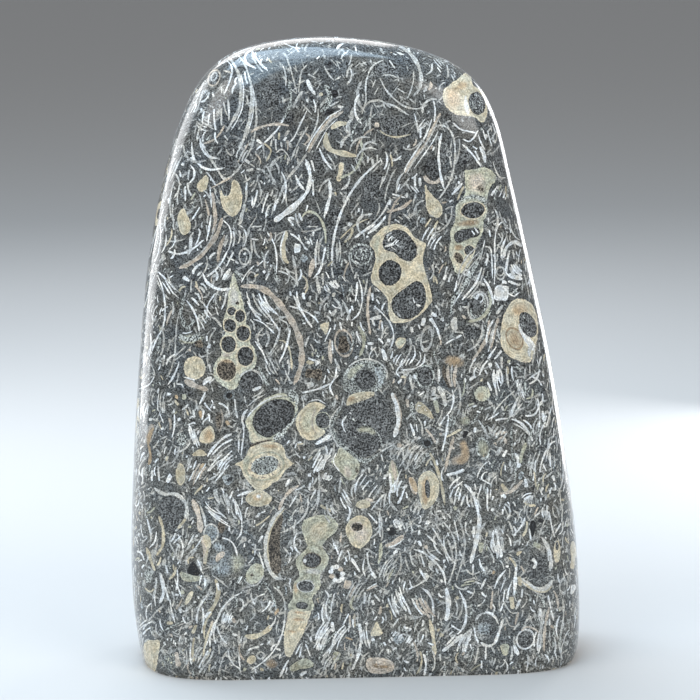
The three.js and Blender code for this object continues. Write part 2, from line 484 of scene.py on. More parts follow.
# Three whorls of a fat snail, with thick pale walls.
blob("cream", 0.62, 2, 105.4, 4.2, 108.2, 6.6, 109.6, 9, 109.8, 11.3, 108.6, 13.1, 106.4, 15.5, 105,
     14.9, 102.8, 14.9, 100, 15.9, 96.4, 17, 92, 15.9, 90, 13.9, 88, 11.5, 86.6, 7.8, 86.2, 6.6, 88,
     6.4, 90.4, 6, 92.4, 4.2, 94.4, 2.4, 96.2, 2.6, 98.8, 3.4, 101.2, 3.2, 103.2)
blob("moss", 0.7, 2.8, 104.8, 4.8, 107.9, 4.4, 103.6, 4, 99.5, 3.6, 97, 2.9, 98, 3.6, 102, body=SOFT)
blob("cream", 0.9, 10.3, 100.3, 13.8, 101.4, 14.7, 98.6, 14.4, 96.8, 12, 96.3, 9.2, 94.8, 9.6, 97,
     body=SOFT)
blob("cream", 0.95, 4.7, 105.3, 5.6, 107.5, 7.8, 108.8, 10.3, 108.5, 12.1, 106.8, 13.6, 104.4, 13.4, 102,
     11.5, 100.5, 9.3, 101.3, 7.6, 102.8, 5.6, 103.3)
blob("infill", 0.4, 5, 105.2, 5.8, 107.2, 7.8, 108.4, 10.2, 108.2, 11.9, 106.6, 13.3, 104.4, 13.1, 102.2,
     11.5, 100.8, 9.4, 101.6, 7.8, 103, 5.8, 103.6)
hollow(6.9, 98.2, 2.75, 3.1, 0.7, -10)
blob("cream", 0.95, 7.1, 92, 8.8, 93.9, 11.8, 95.9, 13.6, 96.6, 15.4, 94.9, 15.8, 92, 15.1, 89.4,
     12.8, 87.3, 9.7, 86.8, 7.5, 88.2, 6.9, 90.4)
blob("infill", 0.65, 7.4, 92, 9, 93.6, 11.9, 95.6, 13.5, 96.3, 15.1, 94.8, 15.5, 92, 14.9, 89.6, 12.7, 87.6,
     9.8, 87.1, 7.8, 88.4, 7.2, 90.4)
wall("pale", 0.4, 5.9, 106.9, 7.3, 107.9)
wall("white", 0.6, 5.6, 104.5, 7.9, 105.1)
wall("pale", 0.4, 7.1, 104.4, 8.5, 103.5)
wall("pale", 0.4, 8.2, 105.1, 9.6, 104.1)
wall("white", 0.4, 12.3, 92.4, 12.8, 90.8)
wall("white", 0.5, 12.9, 90.6, 14.3, 90.2)
wall("pale", 0.5, 8.4, 88.8, 9.4, 87.7)
disc("infill", 0.4, 102.7, 2.9, 2.5, 0.05)
wall("pale", 0.35, -2.3, 104.4, -2.8, 102, -2.3, 99.6, -1.7, 98)

# The right edge: a rust hearted shell, a square chip and the faint oval whorls beside them.
blob("cream", 0.75, 37.3, 91.8, 35, 89.8, 33.7, 86.5, 33.3, 82.6, 34, 79.3, 36.6, 77.2, 39.8, 76.3,
     41.2, 77.5, 42, 80.5, 42.4, 84, 42, 88, 40.4, 90.9)
disc("rust", 38, 89, 2.2, 2, 0.95, body=SOFT)
ring("rust", 36.7, 82.2, 1.8, 2.7, 0.35, 0.1, 28)
disc("rust", 36.8, 82.1, 1.7, 2.5, 0.35, 28, SOFT)
blob("white", 0.6, 38.6, 84.6, 37.6, 86, 37.8, 84.2, 39.2, 81.6, 41, 79.2, 41.8, 80.2, 40.6, 82.2)
disc("infill", 39.9, 85.5, 1.9, 3.3, 0.1, 26)
blob("white", 0.4, 32, 94.3, 32.6, 95, 34.9, 94.8, 35.3, 94.2, 35, 91.7, 34.3, 91.3, 32, 91.5, 31.7, 92.2)
ring("pale", 27.9, 90, 2.3, 3.5, 0.4, 0.6, -12)
ring("grey", 27.9, 90, 1.7, 2.9, 0.4, 0.8, -12)
ring("white", 28.4, 92, 0.8, 1, 0.3)
ring("pale", 33.2, 98.4, 0.9, 1.1, 0.3)

# The great dark whorl at the left of the middle, and the thick pale ring under it.
blob("grey", 0.75, -18.9, 69.4, -17.6, 70.6, -15.8, 70.2, -15, 68.6, -15.2, 66.9, -16.8, 68)
blob("moss", 0.6, -27.8, 63.5, -26.9, 64.8, -25.2, 66.7, -22.9, 68.7, -20.2, 69.6, -18.5, 69.8, -16.6, 68.6,
     -15.2, 66.7, -15.4, 64.8, -16.6, 62.8, -17.8, 60.7, -19.3, 58.9, -20.8, 58.2, -23.5, 57.8, -25.7, 57.7,
     -26.6, 58.5, -27.1, 60.4, -27.6, 62.1)
blob("cream", 0.95, -27.6, 63, -26.4, 64, -26.2, 61.6, -24.8, 59.8, -22.4, 59, -22.6, 58, -25.6, 57.9,
     -26.9, 60, body=SOFT)
blob("grey", 0.9, -19.4, 69.2, -16.4, 68.6, -15.2, 66.6, -15.4, 64.4, -17.2, 61.6, -18.4, 62, -16, 64.4,
     -15.8, 66.6, -17.2, 68.2)
blob("grey", 0.95, -17.6, 62, -18.6, 59.4, -20.6, 58.4, -21.4, 59, -19.8, 60.4)
wall("white", 0.4, -27.4, 64, -25.8, 65.9, -23.4, 67.7, -20.8, 68.9, -18.4, 69.1, depth=0.5)
blob("infill", 0.85, -26.2, 63.1, -25.2, 65.5, -22.9, 67.5, -20.2, 68.5, -17.4, 68, -15.9, 66.3,
     -16.1, 64.1, -17.4, 62.4, -19.8, 60.4, -22.2, 59.2, -24.2, 59.7, -25.6, 61.1)
wall("pale", 0.3, -27.4, 66.6, -25.2, 68.4, -22.9, 69.6, depth=0.9)
wall("pale", 0.3, -26.4, 68.6, -24.6, 69.6, -23, 70.8, depth=0.8)

blob("cream", 0.62, -26.6, 57.3, -24.7, 58, -21.8, 58.2, -19.5, 57.7, -18.5, 56.3, -18.1, 54.6, -16.8, 53.3,
     -15.9, 52.6, -17.4, 51.9, -18.5, 50.9, -19.5, 49.2, -21.8, 47.8, -23.4, 46.6, -25.2, 46.6, -26.9, 48.2,
     -28.3, 50.2, -28.8, 51.9, -30.5, 52.9, -28.8, 53.6, -27.6, 55)
blob("moss", 0.5, -28.6, 53, -27.6, 55.2, -26.6, 54.4, -27, 52.2, -27.6, 50.6, -28.4, 51.2, body=SOFT)
disc("rust", -22, 57.1, 2.6, 0.6, 0.7, -4, SOFT)
ring("moss", -23.2, 52.3, 4.6, 3.3, 0.35, 0.35, 14)
disc("cream", -23.3, 52.2, 4, 2.8, 0.98, 14)
disc("grey", -23.2, 52.5, 3.4, 2.2, 0.15, 14)
wall("brown", 0.5, -26.8, 57, -24.6, 58, -21.4, 58.6)
blob("cream", 0.35, -28, 44.6, -26.8, 46, -25.4, 46.6, -24.8, 47.6, -24, 46.6, -22.6, 45.8, -21.4, 44.5,
     -22.6, 43.1, -24.8, 42.5, -27, 43.1)
disc("rust", -24.9, 44.9, 1.5, 1.1, 1, body=SOFT)
disc("white", -24.8, 45, 0.7, 0.6, 0.6, body=SOFT)

# The round pale shell with a dark hollow, and the big pair of whorls in the middle.
blob("cream", 0.55, -15.8, 62.6, -15.4, 64.4, -14.4, 65.9, -12, 67.5, -10, 67.4, -8.4, 66.4, -9.8, 65.6,
     -10.8, 64.2, -10.8, 62.6, -10, 61.2, -8.4, 60.5, -10, 59, -12, 58.3, -14.1, 59, -15.3, 60.7)
blob("moss", 0.8, -14.6, 62.6, -13.4, 65.4, -11.6, 66, -12, 63, -12, 60.4, -13.6, 60.2, body=SOFT)
wall("sand", 0.3, -10.9, 66.2, -11.7, 64, -11.7, 61.6, -10.8, 59.9, depth=0.1)
wall("sand", 0.25, -14.6, 64.6, -14.9, 62.4, -14.2, 60.4, depth=0.1)
wall("white", 0.3, -12.8, 67.6, -10.6, 68.1, -8.4, 67, depth=0.3)
hollow(-9.3, 63.1, 1.75, 1.95, 0.5, 14, rim="moss", lip=0.2)
blob("grey", 0.2, -4.4, 73.4, -3.6, 75.2, -2.1, 76.3, 1.5, 77.6, 4.7, 76.6, 6.1, 74.4, 5.5, 71.9, 3.8, 70,
     0.5, 69.6, -2.4, 69.6, -4.4, 70.6)
blob("moss", 0.45, -3, 75.2, -0.8, 76.6, 1, 76.4, -0.4, 75.2, -1.8, 73.4, -3.4, 72.8, body=SOFT)
blob("blue", 0.95, 3.4, 76.4, 5.4, 74.8, 5.6, 72.6, 4.2, 70.6, 3.2, 71, 3.9, 73, 3, 75, body=SOFT)
wall("pale", 0.4, -3.4, 75.6, -1.2, 77.2, 1.4, 77.7, 4.3, 76.8, 6.1, 74.6, 5.8, 72.4, depth=0.85)
disc("black", 1, 72.8, 3.1, 3, 0.98, body=SOFT)
disc("infill", 1, 72.8, 2.45, 2.4, 0.6)
blob("cream", 0.4, -3.7, 66.9, -3.2, 68.7, -1, 69.7, 1.9, 69.9, 3.7, 69.5, 2.2, 68.5, 0.1, 67.6, -1.7, 67.1,
     -3.7, 66.5)
disc("rust", -2.4, 68.2, 1.2, 0.7, 0.6, 20, SOFT)
disc("infill", 2.6, 63.4, 7.4, 6.4, 0.3, body=SOFT)
blob("infill", 0.25, -5.7, 62.6, -4.6, 65, -2.4, 66.6, 0.4, 67.2, 2.6, 66.9, 5, 65.6, 6.4, 63, 6.2, 60.4,
     5.4, 58, 4.4, 56.4, 2.6, 54.7, 0.1, 54, -2.8, 56.1, -5, 58.8)
disc("infill", 1.2, 57.4, 3, 2.8, 0.7, body=SOFT)
blob("moss", 0.45, -1.4, 60.8, 0.2, 61.8, 2, 61.6, 3.6, 60.2, 3, 59.2, 1.4, 60, -0.6, 60, body=SOFT)
wall("grey", 0.4, 3.2, 60.6, 4.4, 59, 4.7, 56.8, depth=0.9)
wall("white", 0.4, -3.5, 64.3, -4.6, 62.6, -4.3, 61, -3.7, 60.1)
wall("white", 0.5, -2.9, 65, -2.3, 64.4)
wall("white", 1.1, 7.2, 69.6, 8.4, 66.5, 8.9, 63.6, 8.5, 61, 7.7, 58.8, depth=0.25, body=True)
wall("sand", 0.3, 7.8, 69.4, 9, 66.4, 9.5, 63.6, 8.9, 60.4, depth=0.5)
wall("grey", 1, -4.6, 66.5, -6.4, 64.4, -7.2, 62.4, -6.8, 59.8, -5, 57.2, -2.8, 55.3, 0.1, 53.4, 2.2, 53.6,
     4, 55, depth=0.25)
wall("pale", 0.35, -4.8, 66.9, -6.7, 64.6, -7.7, 62.4, -7, 59.2, -5.4, 56.8, -3.2, 54.8, depth=0.8)
wall("pale", 0.35, 4, 55, 6.2, 56.3, 8.3, 57.5, depth=0.7)
blob("moss", 0.55, -7.7, 53.2, -6.2, 54.7, -5.3, 56.6, -4.1, 56, -2.4, 54.7, -0.8, 53.2, -0.5, 51.1,
     -1.7, 48.9, -3.5, 48.6, -4.6, 50, -5.7, 51.4, -6.6, 52.5)
disc("sand", -3.4, 50.6, 1.1, 1.8, 0.9, 10, SOFT)
disc("brown", -1.1, 50.8, 0.5, 1, 0.8, 16, SOFT)
blob("cream", 0.15, 12.9, 66.4, 14, 67.4, 16.6, 64.9, 17.2, 62.9, 15, 64.2, 13.2, 65)
disc("infill", 15.4, 73.4, 2, 2.4, 0.4)
ring("grey", 15.2, 73.4, 2.1, 2.6, 0.5, 0.6)

# Rings and ovals of the lower half.
blob("cream", 0.5, 15.7, 50.6, 14, 49.4, 13.4, 47, 14, 43.6, 14.7, 41.3, 16.3, 41.6, 18.2, 43.9, 18.7, 46.6,
     18.2, 49, 17, 50.3)
blob("rust", 0.9, 14.4, 48.4, 14.2, 44, 15.2, 42, 16, 43, 16.2, 49.4, body=SOFT)
disc("infill", 15.8, 46.2, 0.65, 2.3, 0.8, 4)
blob("cream", 0.5, -4, 36.8, -2.9, 39, -0.8, 40, 1.2, 39.4, 2.3, 37.6, 2.4, 35.2, 1.2, 33.2, -0.4, 31.9,
     -2, 32.5, -3.4, 34.4)
disc("sand", -0.2, 35.4, 2, 2.4, 0.95, body=SOFT)
hollow(-1.2, 37.2, 1.4, 1, 0.15, kind="brown", rim="sand", lip=0.3)
disc("black", 7.1, 35.9, 1.05, 0.95, 0.1)
# A painted highlight: the small white spot at the upper left of the black spot stands for a glint on it.
disc("white", 6.3, 36.5, 0.4, 0.35)
blob("cream", 0.4, -1.6, 42.6, -0.4, 43.7, 1.6, 43.7, 2.1, 42.5, 1.1, 41.7, -0.7, 41.8)
blob("cream", 0.85, 3.5, 14.3, 4.2, 12.8, 5.1, 10.9, 3.5, 10.5, 1.8, 10.7, 2.7, 12.6)
blob("sand", 0.6, 0.9, 4.7, 2.6, 5.3, 5.4, 5, 7.6, 3.8, 7.5, 2, 5.4, 1.2, 2.4, 1.3, 1, 2.6)
wall("rust", 0.9, 2.5, 3.6, 4.2, 2.9, 6.3, 2.9, depth=0)
blob("moss", 0.25, -17.8, 3, -16.4, 4.3, -13.8, 5.4, -11.7, 4, -12.4, 3, -15, 2.8, -16.8, 2.2)
blob("cream", 0.55, -52.4, 10, -50.4, 10.6, -48.7, 10.2, -49.2, 6.4, -49.9, 3, -51.6, 3.4, -52.6, 6.4)
disc("grey", -46.3, 5.4, 2.6, 2.8, 0, body=SOFT)
disc("cream", -43.3, 50.6, 1.15, 2.7, 0.15)
disc("grey", -43, 59, 1.3, 1.5, 0.85)
blob("cream", 0.9, -38.8, 59, -38.2, 60.9, -36.2, 62.3, -35.3, 61, -35.1, 59, -36, 58.1, -38.2, 58.1)
blob("rust", 0.95, -38, 59.6, -37.4, 61, -36.2, 61.8, -35.2, 60.2, -35.6, 58, -37.4, 58.2, body=SOFT)
blob("cream", 0.3, -40.6, 55.2, -39.6, 56.2, -38.4, 56.6, -37, 55.5, -37.4, 55, -39.2, 55)
disc("brown", -34.1, 63.3, 1, 2.6, 0.9, body=SOFT)
blob("sand", 0.3, -51.3, 61.6, -50.2, 63, -49.2, 62.4, -49.8, 60, -50.4, 58, -51.6, 58.4, body=SOFT)
wall("rust", 0.9, -49.6, 62, -50.6, 60, -51, 57.6, depth=0.45)
wall("rust", 0.7, -50.9, 58, -50.4, 55.4, -50.8, 53, depth=0.3)
disc("infill", -45.6, 41.4, 3.3, 4.2, 0.25)
wall("pale", 0.9, -50, 47.8, -47.4, 46, -44.6, 45.9, -42.4, 44, -41.9, 41.4, -42.9, 38.8, -44.7, 36.9,
     depth=0.9)
wall("sand", 1.3, -40.6, 44.6, -39.6, 42.2, -38.9, 39.5, -38.7, 36.4, depth=1)
wall("pale", 0.6, -38.8, 43.2, -37.8, 40.2, -37.5, 37.4, depth=0.95)
blob("moss", 0.45, -43.8, 27.2, -42, 26.6, -40, 26, -38.6, 25.9, -39, 24.9, -41.4, 24.6, -43.2, 25.2)
blob("black", 0.1, -40.7, 29.8, -40.5, 29.6, -39.4, 27.8, -38.7, 26.1, -38.9, 25.9, -40.6, 26.1,
     -42.2, 26.9, -42.3, 27.2, -41.6, 28.2)
wall("pale", 0.4, -39.9, 29.6, -38.8, 27.6, -38, 26.2)
blob("moss", 0.5, -27.6, 27.2, -25.9, 28.8, -24, 28.2, -23.6, 26.2, -24.8, 24.4, -27, 23.8, -28, 25.2)
disc("brown", -26.5, 26, 0.4, 0.35)
disc("cream", -26.8, 5.3, 1.2, 1, 0.5, 30)
ring("pale", -24.6, 6.3, 0.9, 0.9, 0.4)
disc("rust", -22, 4.2, 1.6, 1.3, 0, body=SOFT)
disc("brown", -33.7, 37.9, 0.9, 1.7, 0.4, -8)
disc("blue", -36.2, 36.3, 1.5, 2, 0)
ring("pale", -36.2, 36.3, 1.7, 2.2, 0.35, 0.9)

# The clouded whorl at the lower left, mostly turned to clear bluish stone.
disc("moss", -30.2, 29, 2.2, 2.6, 0.3, body=SOFT)
disc("blue", -33.6, 28.8, 3.6, 3.6, 0.1, body=SOFT)
disc("blue", -33.4, 27.8, 1.8, 1.5, 0.7, body=SOFT)
disc("blue", -34.4, 32.9, 1.7, 1.1, 0.9, -20, SOFT)
blob("sand", 1, -35.2, 30.2, -34.6, 31.4, -33.2, 31.9, -32.9, 30.9, -34, 30, -35, 29.2)
wall("white", 0.4, -32.5, 29, -31.9, 28.6)
blob("sand", 0.95, -38.7, 35.2, -37.6, 35.6, -36.6, 33.8, -37, 31.4, -37.5, 28.8, -38.2, 29, -38.1, 32)

# The long split whorl with a brown heart, left of the lower middle.
blob("brown", 0.5, -19.8, 41, -18.9, 40, -19.6, 36, -19.7, 32, -19.4, 28.6, -19.8, 26.4, -21.2, 26.2,
     -22.3, 28, -22.7, 31.2, -22.4, 35, -21.2, 38.8)
wall("pale", 0.98, -18.6, 42.6, -21.4, 39, -22.9, 35, -23.2, 31, -22.4, 27.4, -20.9, 25.4, -19.3, 24.8,
     depth=1, body=True)
wall("cream", 0.4, -18.2, 42.2, -20.9, 38.9, -22.4, 35, -22.7, 31, -22, 27.8, depth=0.7)
wall("sand", 0.8, -15, 47.6, -17.2, 46.2, -18.8, 44.3, -20, 41.6, depth=0.9)

# The snail at the bottom, cut through the lip of each whorl.
blob("moss", 0.42, -14.4, 36.4, -14.2, 38.8, -12, 40, -8.4, 40.3, -6.4, 39, -5.6, 37.4, -6.8, 35.6,
     -8.4, 34.4, -9.5, 32.4, -8, 30.2, -8.4, 28, -10.2, 25.8, -9.9, 23.4, -10.8, 21.6, -12.2, 20.2,
     -11.6, 18.4, -12.4, 16.8, -17.6, 17.2, -17.8, 18.9, -16.7, 20.2, -16.8, 21.8, -16.4, 24, -15, 25.8,
     -15.7, 27.6, -16, 29.4, -14.4, 31.2, -13.2, 32.4, -13.6, 34)
blob("cream", 0.45, -13, 37, -11, 38.8, -8, 38.4, -8.6, 35.6, -11, 33.2, -12.4, 34.4, body=SOFT)
disc("pale", -11.8, 26.6, 2.6, 0.8, 0.9, -6, SOFT)
disc("rust", -16, 22.6, 0.7, 1.6, 0.6, body=SOFT)
blob("cream", 0.8, -17.6, 17.3, -14.8, 17, -12.4, 16.9, -12.8, 15.2, -13.6, 12.8, -15.2, 9.6, -17.2, 6,
     -18.4, 5.8, -18.8, 7.2, -19, 10.4, -18.4, 14)
disc("rust", -15.4, 14.9, 2, 0.5, 0.7, -4, SOFT)
disc("rust", -15.2, 16.6, 1.6, 0.4, 0.8, -4, SOFT)
disc("rust", -17, 12, 1.3, 0.4, 0.9, -10, SOFT)
disc("brown", -12.1, 29.3, 2.35, 1.95, 0.9, -4)
disc("infill", -12.1, 29.3, 2.1, 1.7, 0.7, -4)
hollow(-13.6, 23, 1.95, 1.3, 0.4, -6, rim="pale", lip=0.25)
disc("infill", -14.6, 18.3, 1.5, 0.95, 0.45, -6)
disc("white", -13.8, 29.2, 0.4, 0.5)
wall("pale", 0.3, -15, 24.1, -13.4, 24.5, -11.8, 24)

# A crimped ring, two eye shaped shells at the right, and a clean round ring.
for n in range(9):
    knot = n * 2 * math.pi / 9
    disc(("white", "sand")[n % 4 == 1], -6.1 + 1.4 * math.cos(knot) - 0.3 * math.sin(knot),
         25.9 + 1.75 * math.sin(knot), 0.62, 0.55, 0.7)
disc("black", -5.9, 25.6, 0.5, 0.9, 0.9, 20)
disc("infill", 42.6, 27, 3.2, 4, 0.3, body=SOFT)
wall("white", 0.9, 43.4, 34.2, 44.9, 31.6, 45.8, 28.5, 45.5, 25.6, depth=0.2)
wall("pale", 1.2, 38, 24.2, 39.6, 22.8, 41.8, 21.5, 44.2, 21.2, 46.2, 23.4, depth=1)
wall("cream", 0.4, 38.4, 23.6, 41.6, 21, 44.4, 20.6, 46, 22, depth=0.8)
wall("white", 0.9, 41.2, 28.8, 42.1, 27.5, 41.4, 26.2)
blob("black", 0.2, 40.6, 37.6, 41.4, 38.2, 42.1, 37, 41.7, 34.8, 41.1, 34, 40.6, 35.6)
disc("black", 43.2, 38, 0.7, 0.5, 0.8)
disc("cream", 47.2, 30.4, 0.85, 2.8, 0.8)
disc("infill", 47.2, 31.8, 0.4, 1.1, 0.3)
ring("pale", 48.8, 21.9, 0.9, 1.8, 0.4)
disc("infill", 39.6, 9, 2.3, 2.6, 0.1, -18)
ring("white", 39.6, 9, 2.1, 2.4, 0.42, 0.5, -18)
disc("infill", 30, 11.9, 2.9, 3.2, 0.3, body=SOFT)
disc("blue", 29.6, 11.8, 1.9, 1.7, 0.8, body=SOFT)
wall("pale", 0.6, 27.4, 13.6, 28.4, 15.2, 30.2, 15.6, 32, 14.8, 33, 12.8, depth=0.8)
wall("white", 0.7, 28.6, 8.4, 30, 7.6, 31.4, 7.6, 32.4, 8.8, depth=0.4)
disc("moss", 29, 69, 2, 1.85, 0.85, 20)
disc("cream", 28.6, 68.6, 1.3, 1.2, body=SOFT)
disc("rust", 22.2, 76.8, 2.6, 1.6, 0.35, -10, SOFT)
for n, (kind, thick) in enumerate((("brown", 0.9), ("sand", 0.7), ("pale", 0.4), ("sand", 0.8))):
    wall(kind, thick, 19.8 + n, 76.2, 19.9 + 0.8 * n, 73.4, 21.2 + 0.4 * n, 70.6)
blob("sand", 0.2, 21.4, 52.2, 23, 51.6, 25.4, 52.4, 26, 54.8, 25, 57.4, 24, 57, 23.6, 55, 21.8, 54,
     body=SOFT)
blob("rust", 0.4, 23.2, 57, 24.8, 58, 26, 55.4, 25.6, 52.6, 23.4, 51.8, 22.4, 53, 23.8, 54.6, body=SOFT)
disc("moss", 29.2, 55.8, 1.8, 2.8, 0.15, 10, SOFT)
ring("grey", 29.2, 55.8, 1.5, 2.5, 0.4, 0.7, 10)
disc("moss", 24.8, 62.6, 1.4, 1.3, 0.2, body=SOFT)
blob("moss", 0.8, 7.4, 53.6, 8.6, 50.8, 8.8, 47.6, 7.6, 45, 6.6, 47.8, 6.4, 51)
blob("sand", 0.9, 11.2, 48.8, 12.4, 49, 13.4, 46.6, 13.2, 44.8, 12, 45.6)
blob("cream", 0.7, -9.9, 86.4, -8.8, 86, -7.7, 86.6, -8.2, 83.6, -8.9, 84.2)
blob("cream", 0.6, 8, 81.4, 9, 82.8, 10.7, 82.4, 10.2, 81, 9.2, 80)
ring("grey", 0, 102.7, 2.5, 2.4, 0.5, 0.9)
ring("grey", 0, 102.7, 1.3, 1.2, 0.35, 0.9)
ring("pale", 15.6, 82.4, 1.3, 2.8, 0.5, 0.3, -8)
ring("sand", -4.2, 81.6, 2.1, 3.2, 0.4, 0.5, 10)
disc("moss", -40.4, 83, 3.2, 1.2, 0.75, 8, SOFT)
for x, z in ((-31.5, 69.4), (-31.9, 49.3), (15.7, 57.2)):
    disc("blue", x, z, 1.5, 1.3, 0, body=SOFT)
    disc("black", x, z, 0.8, 0.75, 0.1)

